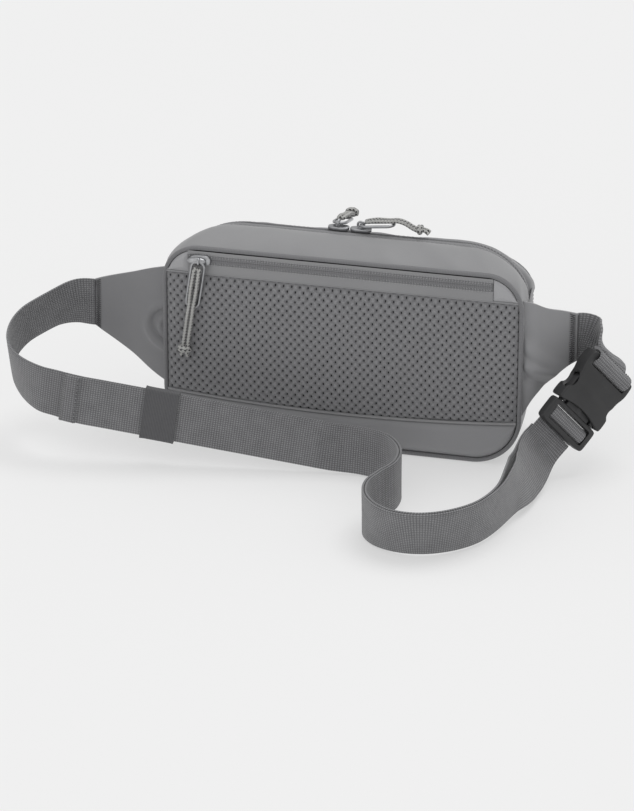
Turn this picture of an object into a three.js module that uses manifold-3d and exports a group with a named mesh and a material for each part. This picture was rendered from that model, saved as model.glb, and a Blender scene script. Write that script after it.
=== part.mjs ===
// Waist pack with a webbing belt, in millimetres, +Z up.
// X runs along the wide back panel, -Y is the side worn against the body, +Y is the front.
// The origin is the middle of the flat bottom that the case stands on.
import * as THREE from 'three';
import { mergeVertices } from 'three/addons/utils/BufferGeometryUtils.js';
import Module from 'manifold-3d';

const wasm = await Module();
wasm.setup();

// ---------------------------------------------------------------- driving dimensions
const CASE_WIDTH = 236;          // outside, across the back panel
const CASE_HEIGHT = 130;         // at the rear seam
const CASE_DEPTH = 66;           // rear seam to front seam
const TOP_RADIUS = 24;           // upper corners of the outline, at the rear seam
const BOTTOM_RADIUS = 32;        // lower corners of the outline
const CROWN = 7.2;               // how far the top bows up between its seams
const FRONT_DROP = 10;           // the front seam's top is lower than the rear seam's
const FRONT_TAPER = 8;           // and each of its sides is further in
const CORNER_SOFTENING = 18;     // the upper corners are wider by this from the main zip on
const FABRIC = 1.6;              // coated shell fabric with its seam allowance
const GAP = 0.3;                 // clearance between pieces that touch
const FIT = 0.5;                 // running clearance round a sliding piece

const PIPING_DIA = 2.6;
const PIPING_INSET = 1.4;        // piping centre, inside the case outline
const SEAM_SPACE = 0.7;          // gusset edge, back from the seam plane
const PANEL_INSET = 3.1;         // edge of the back and front panels, inside the outline
const FRONT_SLOPE = 14;          // the front panel rises from its edge over this width
const FRONT_RISE = 4.5;
const LINING = 0.8;
const BOARD = 1.6;               // stiffener behind the back padding
const POCKET = 0.8;              // flat back pocket bag, two layers

const ZIP_SETBACK = CASE_DEPTH / 2 + 4;      // main zip centre line, in from the rear seam
const MAIN_COIL = 3.4;           // width of the closed main coil
const MAIN_TAPE = 5.4;           // visible width of one main tape
const MAIN_ZIP_END = CASE_HEIGHT - 34;       // height at which the main zip ends on each side
const TAB_WIDTH = 24;            // end tabs of the main zip, across the zip
const TAB_HEIGHT = 14;

const MESH_TOP = CASE_HEIGHT - 18.4;         // top edge of the mesh panel
const MESH_BOTTOM = 30;          // its bottom corners
const MESH_SAG = 5.5;            // how far the bottom edge hangs between the corners
const MESH_THICK = 1.3;
const FOAM_THICK = 3.2;
const BAND_THICK = 2.6;
const CAP_THICK = 1.9;

const BACK_ZIP_LEFT = -CASE_WIDTH / 2 + 17.5;   // ends of the back zip's opening
const BACK_ZIP_RIGHT = CASE_WIDTH / 2 - 19.5;
const BACK_ZIP_HEIGHT = CASE_HEIGHT - 8.4;
const BACK_TAPE_THICK = 1.2;
const BACK_TAPE_SPLIT = 1;       // line between the two tapes
const BACK_COIL_WIDTH = 5.2;
const BACK_COIL_THICK = 0.8;

const SLIDER_LENGTH = 14;
const SLIDER_WIDTH = 7;
const SLIDER_BODY = 2.4;
const EAR_HOLE = 3;              // hole that the wire loop passes through
const EAR_WALL = 1.2;
const EAR_THICK = 1.6;
const WIRE = 1.8;
const LOOP_WIDTH = 8.4;          // centre to centre of the loop's legs
const BACK_LOOP = 32;            // centre to centre of the loop's ends
const TOP_LOOP = 22;
const LOOP_LEAN = 9;             // degrees that the hanging back loop leans
const CORD = 2.6;
const CORD_BEND = 0.9;           // room on each side of the place where a cord bends

const WEBBING = 32;              // belt width
const WEB_THICK = 1.4;
const LAYER_GAP = 0.4;           // between the two layers of the doubled belt
const HEM_LENGTH = 10;
const KEEPER_LENGTH = 22;
const KEEPER_WALL = 1;
const WING_THICK = 3;
const WING_TOP = CASE_HEIGHT - 18;   // the wings are sewn into the rear seam between these heights
const WING_BOTTOM = 33;

const BUCKLE_WIDTH = WEBBING + 10;
const MALE_LENGTH = 17;          // ladder-lock frame
const MALE_THICK = 7;
const FEMALE_LENGTH = 37.6;
const FEMALE_THICK = 11;
const BUCKLE_WALL = 3.6;         // side walls of the female half
const BUCKLE_CAVITY = 6.8;       // height of the female half's cavity
const STRAP_SLOT = WEBBING + 1.2;
const PRONG_LENGTH = 21;
const PRONG_WIDTH = 5.4;
const PRONG_THICK = 5.4;
const GUIDE_WIDTH = 5;

// ---------------------------------------------------------------- finishes
const material = (color, roughness, metalness = 0) =>
  new THREE.MeshStandardMaterial({ color, roughness, metalness });
const SHELL = material(0x8c8c8e, 0.62);
const MESH = material(0x67676a, 0.9);
const FOAM = material(0x3a3a3c, 0.95);
const BOARD_PLASTIC = material(0x2c2c2e, 0.7);
const LINING_CLOTH = material(0x9a9a9c, 0.8);
const ZIP_TAPE = material(0x7d7d80, 0.85);
const COIL = material(0x5a5a5c, 0.5);
const PIPING = material(0x5c5c5e, 0.7);
const WEB = material(0x707073, 0.75);
const ELASTIC = material(0x4c4c4e, 0.9);
const CORD_CLOTH = material(0xb4b4b2, 0.85);
const STEEL = material(0xbfc0c2, 0.28, 1);
const ACETAL = material(0x2f3032, 0.45);

const pack = new THREE.Group();
const rearSeam = new THREE.Group();          // y = 0 is the rear seam plane in here
rearSeam.position.y = -CASE_DEPTH / 2;
pack.add(rearSeam);

function addPiece(name, geometry, finish, parent = rearSeam) {
  const mesh = new THREE.Mesh(geometry, finish);
  mesh.name = name;
  parent.add(mesh);
  return mesh;
}

// ---------------------------------------------------------------- geometry helpers
const vec = (x, y, z) => new THREE.Vector3(x, y, z);

// A closed mesh from points and triangles, turned so that its faces point out.
function closedMesh(points, triangles) {
  let volume = 0;
  for (const [a, b, c] of triangles) {
    volume += points[a].dot(vec(0, 0, 0).crossVectors(points[b], points[c]));
  }
  const index = volume < 0 ? triangles.map(([a, b, c]) => [a, c, b]) : triangles;
  const geometry = new THREE.BufferGeometry();
  geometry.setAttribute('position',
    new THREE.Float32BufferAttribute(points.flatMap((p) => [p.x, p.y, p.z]), 3));
  geometry.setIndex(index.flat());
  geometry.computeVertexNormals();
  return geometry;
}

// A solid through a list of rings with the same number of points, closed by a fan at each end.
function loft(rings) {
  const count = rings[0].length;
  const points = rings.flat();
  const triangles = [];
  for (let r = 0; r + 1 < rings.length; r++) {
    for (let i = 0; i < count; i++) {
      const a = r * count + i;
      const b = r * count + (i + 1) % count;
      triangles.push([a, b, a + count], [b, b + count, a + count]);
    }
  }
  for (const [start, flip] of [[0, true], [(rings.length - 1) * count, false]]) {
    const centre = vec(0, 0, 0);
    for (let i = 0; i < count; i++) centre.addScaledVector(points[start + i], 1 / count);
    points.push(centre);
    for (let i = 0; i < count; i++) {
      const a = start + i;
      const b = start + (i + 1) % count;
      triangles.push(flip ? [points.length - 1, b, a] : [points.length - 1, a, b]);
    }
  }
  return closedMesh(points, triangles);
}

// A ring-shaped solid: every section has the same number of points, and the last joins the first.
function closedLoop(sections) {
  const count = sections[0].length;
  const points = sections.flat();
  const triangles = [];
  for (let r = 0; r < sections.length; r++) {
    const next = ((r + 1) % sections.length) * count;
    for (let i = 0; i < count; i++) {
      const a = r * count + i;
      const b = r * count + (i + 1) % count;
      const c = next + i;
      const d = next + (i + 1) % count;
      triangles.push([a, b, c], [b, d, c]);
    }
  }
  return closedMesh(points, triangles);
}

// A sheet with a thickness: two matching grids of points, joined round their rim.
function thickSheet(outer, inner) {
  const rows = outer.length;
  const columns = outer[0].length;
  const points = [...outer.flat(), ...inner.flat()];
  const at = (side, i, j) => side * rows * columns + i * columns + j;
  const triangles = [];
  for (let i = 0; i + 1 < rows; i++) {
    for (let j = 0; j + 1 < columns; j++) {
      for (const side of [0, 1]) {
        const [a, b, c, d] =
          [at(side, i, j), at(side, i + 1, j), at(side, i + 1, j + 1), at(side, i, j + 1)];
        if (side) triangles.push([a, c, b], [a, d, c]);
        else triangles.push([a, b, c], [a, c, d]);
      }
    }
  }
  const rim = [];
  for (let j = 0; j < columns - 1; j++) rim.push([0, j]);
  for (let i = 0; i < rows - 1; i++) rim.push([i, columns - 1]);
  for (let j = columns - 1; j > 0; j--) rim.push([rows - 1, j]);
  for (let i = rows - 1; i > 0; i--) rim.push([i, 0]);
  rim.forEach(([i, j], k) => {
    const [p, q] = rim[(k + 1) % rim.length];
    triangles.push([at(0, i, j), at(0, p, q), at(1, i, j)], [at(0, p, q), at(1, p, q), at(1, i, j)]);
  });
  return closedMesh(points, triangles);
}

// A flat plate of an XZ shape, between two places along Y.
function plate(shape, yLow, yHigh) {
  const geometry = new THREE.ExtrudeGeometry(shape,
    { depth: yHigh - yLow, bevelEnabled: false, curveSegments: 8 });
  geometry.rotateX(Math.PI / 2);
  geometry.translate(0, yHigh, 0);
  return geometry;
}

const shapeOf = (points) => new THREE.Shape(points.map((p) => new THREE.Vector2(p.x, p.z)));

function block(xLow, xHigh, yLow, yHigh, zLow, zHigh) {
  const geometry = new THREE.BoxGeometry(xHigh - xLow, yHigh - yLow, zHigh - zLow);
  geometry.translate((xLow + xHigh) / 2, (yLow + yHigh) / 2, (zLow + zHigh) / 2);
  return geometry;
}

function toSolid(geometry) {
  const bare = geometry.clone();
  bare.deleteAttribute('normal');
  bare.deleteAttribute('uv');
  const merged = mergeVertices(bare, 1e-4);
  return new wasm.Manifold(new wasm.Mesh({
    numProp: 3,
    vertProperties: new Float32Array(merged.attributes.position.array),
    triVerts: new Uint32Array(merged.index.array),
  }));
}

function fromSolid(solid) {
  const mesh = solid.getMesh();
  const geometry = new THREE.BufferGeometry();
  geometry.setAttribute('position', new THREE.BufferAttribute(mesh.vertProperties, 3));
  geometry.setIndex(new THREE.BufferAttribute(mesh.triVerts, 1));
  geometry.computeVertexNormals();
  return geometry;
}

const cutAway = (base, ...tools) =>
  fromSolid(tools.reduce((solid, tool) => solid.subtract(toSolid(tool)), toSolid(base)));
const joined = (...parts) =>
  fromSolid(parts.slice(1).reduce((solid, part) => solid.add(toSolid(part)), toSolid(parts[0])));

// ---------------------------------------------------------------- case outline
const CORNER_STEPS = 6;
const depthShare = (y) => THREE.MathUtils.clamp(y / CASE_DEPTH, 0, 1);
const halfWidth = (y) => CASE_WIDTH / 2 - FRONT_TAPER * depthShare(y);
const topHeight = (y) => CASE_HEIGHT + CROWN * Math.sin(Math.PI * depthShare(y))
  - FRONT_DROP * depthShare(y) ** 2;

function corner(cx, cz, across, startDegrees, up = across) {
  const points = [];
  for (let i = 0; i <= CORNER_STEPS; i++) {
    const angle = THREE.MathUtils.degToRad(startDegrees + (90 * i) / CORNER_STEPS);
    points.push({ x: cx + across * Math.cos(angle), z: cz + up * Math.sin(angle) });
  }
  return points;
}

// The upper run goes from the right side over the top to the left side, the lower run back.
function upperRun(inset, y, sideHeight) {
  const half = halfWidth(y);
  const top = topHeight(y);
  const across = TOP_RADIUS + CORNER_SOFTENING * THREE.MathUtils.clamp(y / ZIP_SETBACK, 0, 1);
  const up = Math.min(across, top - MAIN_ZIP_END - 1);
  return [
    { x: half - inset, z: sideHeight },
    ...corner(half - across, top - up, across - inset, 0, up - inset),
    ...corner(-half + across, top - up, across - inset, 90, up - inset),
    { x: -half + inset, z: sideHeight },
  ];
}

function lowerRun(inset, sideHeight, y = 0) {
  const half = halfWidth(y);
  const radius = BOTTOM_RADIUS - inset;
  return [
    { x: -half + inset, z: sideHeight },
    ...corner(-half + BOTTOM_RADIUS, BOTTOM_RADIUS, radius, 180),
    ...corner(half - BOTTOM_RADIUS, BOTTOM_RADIUS, radius, 270),
    { x: half - inset, z: sideHeight },
  ];
}

const outline = (inset, y = 0) =>
  [...upperRun(inset, y, MAIN_ZIP_END).slice(0, -1), ...lowerRun(inset, MAIN_ZIP_END, y).slice(0, -1)];
const outlineRing = (inset, y) => outline(inset, y).map((p) => vec(p.x, y, p.z));

// ---------------------------------------------------------------- case walls
function upperStrip(yLow, yHigh, inset = 0, thick = FABRIC) {
  const rows = [yLow, (yLow + yHigh) / 2, yHigh];
  const grid = (extra) => rows.map((y) =>
    upperRun(inset + extra, y, MAIN_ZIP_END + GAP / 2).map((p) => vec(p.x, y, p.z)));
  return thickSheet(grid(0), grid(thick));
}

function lowerStrip() {
  const rows = [SEAM_SPACE, CASE_DEPTH - SEAM_SPACE];
  const grid = (extra) => rows.map((y) =>
    lowerRun(extra, MAIN_ZIP_END - GAP / 2, y).map((p) => vec(p.x, y, p.z)));
  return thickSheet(grid(0), grid(FABRIC));
}

function addCaseWalls() {
  const coilLow = ZIP_SETBACK - MAIN_COIL / 2;
  const coilHigh = ZIP_SETBACK + MAIN_COIL / 2;
  const rearTape = coilLow - GAP - MAIN_TAPE;
  const frontTape = coilHigh + GAP + MAIN_TAPE;
  addPiece('rear_top_gusset', upperStrip(SEAM_SPACE, rearTape - GAP), SHELL);
  addPiece('main_zip_tape_rear', upperStrip(rearTape, coilLow - GAP), ZIP_TAPE);
  addPiece('main_zip_coil', upperStrip(coilLow, coilHigh, -0.4), COIL);
  addPiece('main_zip_tape_front', upperStrip(coilHigh + GAP, frontTape), ZIP_TAPE);
  addPiece('front_top_gusset', upperStrip(frontTape + GAP, CASE_DEPTH - SEAM_SPACE), SHELL);
  addPiece('lower_gusset', lowerStrip(), SHELL);
  for (const [side, name] of [[-1, 'left'], [1, 'right']]) {
    const face = (out) => [-TAB_WIDTH / 2, TAB_WIDTH / 2].map((across) =>
      [-TAB_HEIGHT / 2, TAB_HEIGHT / 2].map((up) => vec(
        side * (halfWidth(ZIP_SETBACK + across) + 0.4 + GAP + out),
        ZIP_SETBACK + across, MAIN_ZIP_END + up)));
    addPiece(`main_zip_end_tab_${name}`, thickSheet(face(1.2), face(0)), SHELL);
  }
}

// Piping runs parallel to the outline: each of its six long edges is an outline of its own.
function pipingRing(y) {
  const edges = [];
  for (let k = 0; k < 6; k++) {
    const angle = (k * Math.PI) / 3;
    const inset = PIPING_INSET + (PIPING_DIA / 2) * Math.cos(angle);
    edges.push(outline(inset, y).map((p) => vec(p.x, y + (PIPING_DIA / 2) * Math.sin(angle), p.z)));
  }
  return closedLoop(edges);
}

function addPanels() {
  const pipingOut = PIPING_DIA / 2 - GAP;
  addPiece('rear_piping', pipingRing(-pipingOut), PIPING);
  addPiece('front_piping', pipingRing(CASE_DEPTH + pipingOut), PIPING);

  addPiece('front_panel', loft([
    outlineRing(PANEL_INSET, CASE_DEPTH),
    outlineRing(PANEL_INSET, CASE_DEPTH + FABRIC),
    outlineRing(PANEL_INSET + FRONT_SLOPE, CASE_DEPTH + FRONT_RISE),
  ]), SHELL);

  const liningInset = FABRIC + GAP + 0.3;
  const liningRear = SEAM_SPACE + BOARD + POCKET + 3 * GAP;
  const liningFront = CASE_DEPTH - GAP - 0.4;
  addPiece('lining', loft([
    outlineRing(liningInset, liningFront),
    outlineRing(liningInset, ZIP_SETBACK),
    outlineRing(liningInset, liningRear),
    outlineRing(liningInset + LINING, liningRear),
    outlineRing(liningInset + LINING, ZIP_SETBACK),
    outlineRing(liningInset + LINING, liningFront - LINING),
  ]), LINING_CLOTH);

  const board = outline(FABRIC + GAP + 0.5, SEAM_SPACE + BOARD);
  addPiece('back_panel_board', plate(shapeOf(board), SEAM_SPACE, SEAM_SPACE + BOARD), BOARD_PLASTIC);
  const pocketLow = SEAM_SPACE + BOARD + GAP;
  addPiece('back_pocket_bag', block(BACK_ZIP_LEFT - 3.5, BACK_ZIP_RIGHT + 3.5,
    pocketLow, pocketLow + POCKET, 42, CASE_HEIGHT - 6), LINING_CLOTH);
}

// ---------------------------------------------------------------- back panel, outside the board
// The mesh panel's bottom edge hangs in a shallow arc between its corners.
function sagCurve(half, drop, steps = 12) {
  const points = [];
  for (let i = 0; i <= steps; i++) {
    const u = -1 + (2 * i) / steps;
    points.push({ x: half * u, z: MESH_BOTTOM + drop - MESH_SAG * (1 - u * u) });
  }
  return points;
}

function meshShape(inset) {
  const half = CASE_WIDTH / 2 - PANEL_INSET - inset;
  return shapeOf([...sagCurve(half, inset),
    { x: half, z: MESH_TOP - inset }, { x: -half, z: MESH_TOP - inset }]);
}

// Half the outline's width at a height.
function halfWidthAt(inset, z) {
  const half = CASE_WIDTH / 2;
  const overTop = Math.max(0, z - (CASE_HEIGHT - TOP_RADIUS));
  const underBottom = Math.max(0, BOTTOM_RADIUS - z);
  if (overTop > 0) return half - TOP_RADIUS + Math.sqrt((TOP_RADIUS - inset) ** 2 - overTop ** 2);
  return half - BOTTOM_RADIUS + Math.sqrt((BOTTOM_RADIUS - inset) ** 2 - underBottom ** 2);
}

// The outline's height above a place along X.
function topAt(inset, x) {
  const pastCorner = Math.max(0, Math.abs(x) - (CASE_WIDTH / 2 - TOP_RADIUS));
  return CASE_HEIGHT - TOP_RADIUS + Math.sqrt((TOP_RADIUS - inset) ** 2 - pastCorner ** 2);
}

// One end of the zip band: from the zip's end to the outline's upper corner.
function endCapShape(side, zipEnd, zLow) {
  const reach = side * zipEnd + 0.5;
  const run = corner(CASE_WIDTH / 2 - TOP_RADIUS, CASE_HEIGHT - TOP_RADIUS, TOP_RADIUS - PANEL_INSET, 0)
    .filter((p) => p.z > zLow + 0.5 && p.x > reach);
  return shapeOf([
    { x: side * zipEnd, z: zLow }, { x: halfWidthAt(PANEL_INSET, zLow), z: zLow }, ...run,
    { x: side * zipEnd, z: topAt(PANEL_INSET, zipEnd) },
  ].map((p) => ({ x: side * p.x, z: p.z })));
}

function addBackPanel() {
  const skin = -GAP - FOAM_THICK - GAP;
  addPiece('back_foam_pad', plate(meshShape(1.5), -GAP - FOAM_THICK, -GAP), FOAM);
  addPiece('back_mesh_panel', plate(meshShape(0), skin - MESH_THICK, skin), MESH);

  const half = halfWidthAt(PANEL_INSET, MESH_BOTTOM - GAP);
  const floorRun = lowerRun(PANEL_INSET, MESH_BOTTOM).filter((p) => p.z < MESH_BOTTOM - GAP - 1);
  addPiece('bottom_band', plate(shapeOf([
    ...floorRun, ...sagCurve(half, -GAP).reverse()]), -GAP - BAND_THICK, -GAP), SHELL);

  const bandLow = MESH_TOP + GAP;
  const bandHigh = Math.min(topAt(PANEL_INSET, BACK_ZIP_LEFT), topAt(PANEL_INSET, BACK_ZIP_RIGHT));
  const capBack = -GAP - 0.2;
  for (const [side, name, zipEnd] of [[-1, 'left', BACK_ZIP_LEFT], [1, 'right', BACK_ZIP_RIGHT]]) {
    addPiece(`back_zip_end_cap_${name}`, plate(endCapShape(side, zipEnd + side * GAP, bandLow),
      capBack - CAP_THICK, capBack), SHELL);
  }

  const coilHigh = -0.1;
  const tapeHigh = coilHigh - BACK_COIL_THICK - GAP;
  const tapeLow = tapeHigh - BACK_TAPE_THICK;
  addPiece('back_zip_coil', block(BACK_ZIP_LEFT + 1, BACK_ZIP_RIGHT - 1, coilHigh - BACK_COIL_THICK,
    coilHigh, BACK_ZIP_HEIGHT - BACK_COIL_WIDTH / 2, BACK_ZIP_HEIGHT + BACK_COIL_WIDTH / 2), COIL);
  addPiece('back_zip_tape_lower', block(BACK_ZIP_LEFT, BACK_ZIP_RIGHT, tapeLow, tapeHigh,
    bandLow, BACK_ZIP_HEIGHT - BACK_TAPE_SPLIT / 2), ZIP_TAPE);
  addPiece('back_zip_tape_upper', block(BACK_ZIP_LEFT, BACK_ZIP_RIGHT, tapeLow, tapeHigh,
    BACK_ZIP_HEIGHT + BACK_TAPE_SPLIT / 2, bandHigh), ZIP_TAPE);
  return tapeLow;
}

// ---------------------------------------------------------------- zip sliders and pulls
// A slider in its own frame: it runs along X, its tape is below it, and its ear stands up at +Z.
// The ear's hole runs along Y, or along X when the pull swings across the zip.
const EAR_CENTRE = SLIDER_BODY + EAR_HOLE / 2 + 0.5;

function sliderSolid(acrossZip) {
  const body = new THREE.Shape();
  const half = SLIDER_LENGTH / 2;
  const wide = SLIDER_WIDTH / 2;
  body.moveTo(-half, -wide * 0.55);
  body.lineTo(-half + 4, -wide);
  body.lineTo(half - 2, -wide);
  body.quadraticCurveTo(half, -wide, half, 0);
  body.quadraticCurveTo(half, wide, half - 2, wide);
  body.lineTo(-half + 4, wide);
  body.lineTo(-half, wide * 0.55);
  const bodyPlate = new THREE.ExtrudeGeometry(body,
    { depth: SLIDER_BODY, bevelEnabled: false, curveSegments: 4 });

  const outer = EAR_HOLE / 2 + EAR_WALL;
  const ear = new THREE.Shape();
  ear.moveTo(-outer, -EAR_CENTRE + SLIDER_BODY - 0.5);
  ear.lineTo(outer, -EAR_CENTRE + SLIDER_BODY - 0.5);
  ear.lineTo(outer, 0);
  ear.absarc(0, 0, outer, 0, Math.PI);
  const hole = new THREE.Path();
  hole.absarc(0, 0, EAR_HOLE / 2, 0, 2 * Math.PI, true);
  ear.holes.push(hole);
  const earPlate = new THREE.ExtrudeGeometry(ear,
    { depth: EAR_THICK, bevelEnabled: false, curveSegments: 7 });
  earPlate.translate(0, 0, -EAR_THICK / 2);
  earPlate.rotateX(Math.PI / 2);
  if (acrossZip) earPlate.rotateZ(Math.PI / 2);
  earPlate.translate(0, 0, EAR_CENTRE);
  return joined(bodyPlate, earPlate);
}

// A wire loop in its own frame: one end passes the origin along Y, and it reaches out along +X.
function wireLoop(length) {
  const radius = LOOP_WIDTH / 2;
  const points = [];
  for (const [cx, start] of [[radius, 90], [length - radius, 270]]) {
    for (let i = 0; i <= 6; i++) {
      const angle = THREE.MathUtils.degToRad(start + 30 * i);
      points.push(vec(cx + radius * Math.cos(angle), radius * Math.sin(angle), 0));
    }
  }
  const path = new THREE.CatmullRomCurve3(points, true, 'centripetal');
  return new THREE.TubeGeometry(path, 36, WIRE / 2, 8, true);
}

// A doubled cord as one oval tube along points in the XZ plane, two strands wide along Y.
function cordTube(points) {
  const path = new THREE.CatmullRomCurve3(points);
  const steps = 8;
  const sides = 8;
  const rings = [];
  for (let i = 0; i <= steps; i++) {
    const along = path.getTangentAt(i / steps);
    const up = vec(-along.z, 0, along.x);
    const centre = path.getPointAt(i / steps);
    const ring = [];
    for (let k = 0; k < sides; k++) {
      const angle = (2 * Math.PI * k) / sides;
      ring.push(centre.clone().addScaledVector(up, (CORD / 2) * Math.sin(angle))
        .add(vec(0, CORD * Math.cos(angle), 0)));
    }
    rings.push(ring);
  }
  return loft(rings);
}

function knotBall(x) {
  const knot = new THREE.SphereGeometry(3.4, 8, 6);
  knot.scale(1.2, 1, 1);
  knot.translate(x, 0, 0);
  return knot;
}

// The pull of one slider: wire loop, the cord inside the loop and the cord hanging from it.
// lowerRun gives the hanging cord from the loop's end to its knot, as distance past the neck
// and height above the loop's plane.
const PULL_LIFT = WIRE / 2 + CORD / 2 + GAP;   // cord centre above the loop's plane

function addPull(prefix, sliderFrame, loopLength, lowerRun, aim) {
  const pull = new THREE.Group();
  pull.applyMatrix4(aim);
  sliderFrame.add(pull);
  addPiece(`${prefix}_pull_loop`, wireLoop(loopLength), STEEL, pull);
  const neck = loopLength - 3;
  addPiece(`${prefix}_cord_upper`,
    cordTube([vec(5.2, 0, PULL_LIFT), vec(neck / 2, 0, PULL_LIFT + 0.4),
      vec(neck - CORD_BEND, 0, PULL_LIFT)]), CORD_CLOTH, pull);
  const run = lowerRun.map(([x, z]) => vec(neck + x, 0, z));
  const knot = knotBall(0);
  knot.translate(run.at(-1).x, 0, run.at(-1).z + 0.6);
  addPiece(`${prefix}_cord_lower`, joined(cordTube(run), knot), CORD_CLOTH, pull);
}

const degrees = THREE.MathUtils.degToRad;
const turn = (x, y, z) => new THREE.Matrix4().makeRotationFromEuler(
  new THREE.Euler(degrees(x), degrees(y), degrees(z), 'ZYX'));
const earPlace = new THREE.Matrix4().makeTranslation(0, 0, EAR_CENTRE);

function addSliders(tapeFace) {
  // Back slider: its body stands off the tapes towards -Y, its pull hangs down.
  const back = new THREE.Group();
  back.position.set(BACK_ZIP_LEFT + SLIDER_LENGTH / 2 + 1.5, tapeFace - GAP, BACK_ZIP_HEIGHT);
  back.rotation.set(Math.PI / 2, 0, 0);
  rearSeam.add(back);
  addPiece('back_slider', sliderSolid(true), STEEL, back);
  addPull('back', back, BACK_LOOP,
    [[CORD_BEND, PULL_LIFT], [6, PULL_LIFT], [19, PULL_LIFT * 0.85], [32, PULL_LIFT * 0.7]], earPlace.clone().multiply(turn(0, 0, -90 - LOOP_LEAN)));

  // Top sliders: they meet at the middle of the closed main zip.
  const crest = topHeight(ZIP_SETBACK - SLIDER_WIDTH / 2) + 0.4 + GAP;
  const apart = SLIDER_LENGTH / 2 + GAP;
  for (const [side, name] of [[-1, 'left'], [1, 'right']]) {
    const top = new THREE.Group();
    top.position.set(side * apart - 4, ZIP_SETBACK, crest);
    rearSeam.add(top);
    addPiece(`${name}_slider`, sliderSolid(side < 0), STEEL, top);
    const lies = side < 0 ? turn(0, 12, 90) : turn(0, -6, 0);
    const run = side < 0 ? [[6, PULL_LIFT], [10, 1.9], [13.5, 1.2]]
      : [[6, PULL_LIFT], [11, 0.6], [15, -2.2], [19.5, -4.6]];
    addPull(name, top, TOP_LOOP, [[CORD_BEND, PULL_LIFT], ...run],
      earPlace.clone().multiply(lies));
  }
}

// ---------------------------------------------------------------- wings
// Where each wing ends and its webbing starts: x, y, and the middle height of the webbing.
const SIDE = CASE_WIDTH / 2;
const LEFT_WING_END = { x: -SIDE - 51.8, y: 18.8, middle: 76.2 };
const RIGHT_WING_END = { x: SIDE + 29, y: 28, middle: 81 };

// Each wing is a tapering pad from the rear seam to the end of the belt webbing. A station is
// its x, its y, and how far its lower and upper edges have come from the seam's height to the
// webbing's width.
function wing(end, stations) {
  const places = stations.map(([x, y, lowShare, highShare]) => [x, y,
    THREE.MathUtils.lerp(WING_BOTTOM, end.middle - WEBBING / 2, lowShare),
    THREE.MathUtils.lerp(WING_TOP, end.middle + WEBBING / 2, highShare)]);
  places.push([end.x, end.y, end.middle - WEBBING / 2, end.middle + WEBBING / 2]);
  const grid = (offset) => places.map(([x, y, low, high], i) => {
    const before = places[Math.max(i - 1, 0)];
    const after = places[Math.min(i + 1, places.length - 1)];
    const along = vec(after[0] - before[0], after[1] - before[1], 0).normalize();
    const normal = vec(along.y, -along.x, 0).multiplyScalar(offset);
    return [0, 0.33, 0.67, 1].map((u) =>
      vec(x + normal.x, y + normal.y, low + (high - low) * u));
  });
  return thickSheet(grid(WING_THICK / 2), grid(-WING_THICK / 2));
}

function addWings() {
  const root = SIDE + 0.4 + GAP;
  addPiece('left_wing', wing(LEFT_WING_END, [
    [-root, 3, 0, 0],
    [-root - 11, 7, 0.215, 0.2],
    [-root - 25, 12.8, 0.49, 0.5],
    [-root - 38, 16.8, 0.744, 0.76],
  ]), SHELL);
  addPiece('right_wing', wing(RIGHT_WING_END, [
    [root, 3, 0, 0],
    [root + 6, 5, 0.44, 0.13],
    [root + 13, 12, 0.69, 0.47],
    [root + 21, 20.5, 0.89, 0.73],
  ]), SHELL);
}

// ---------------------------------------------------------------- belt
// The buckle's frame: its centre line, its width direction and its face normal.
const buckleAxis = vec(0.49, 0.56, 0.67).normalize();
const buckleWidth = vec(0.52, 0.43, -0.74);
buckleWidth.addScaledVector(buckleAxis, -buckleWidth.dot(buckleAxis)).normalize();
const buckleNormal = vec(0, 0, 0).crossVectors(buckleWidth, buckleAxis);
const buckleOrigin = vec(SIDE + 26, -12, 30.5);
const inBuckle = (x, y, z) => buckleOrigin.clone()
  .addScaledVector(buckleAxis, x).addScaledVector(buckleNormal, y).addScaledVector(buckleWidth, z);

const TAIL_DEPTH = MALE_THICK / 2 + GAP + WEB_THICK / 2;    // tail layer, behind the frame
const ON_EDGE = WEBBING / 2;     // middle height of webbing that stands on its edge
const straightStart = vec(-SIDE - 38.4, -60.5, ON_EDGE + 25);
const straightEnd = vec(SIDE - 114.5, -42, ON_EDGE + 2.5);
const alongStraight = (u) => straightStart.clone().lerp(straightEnd, u);

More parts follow.
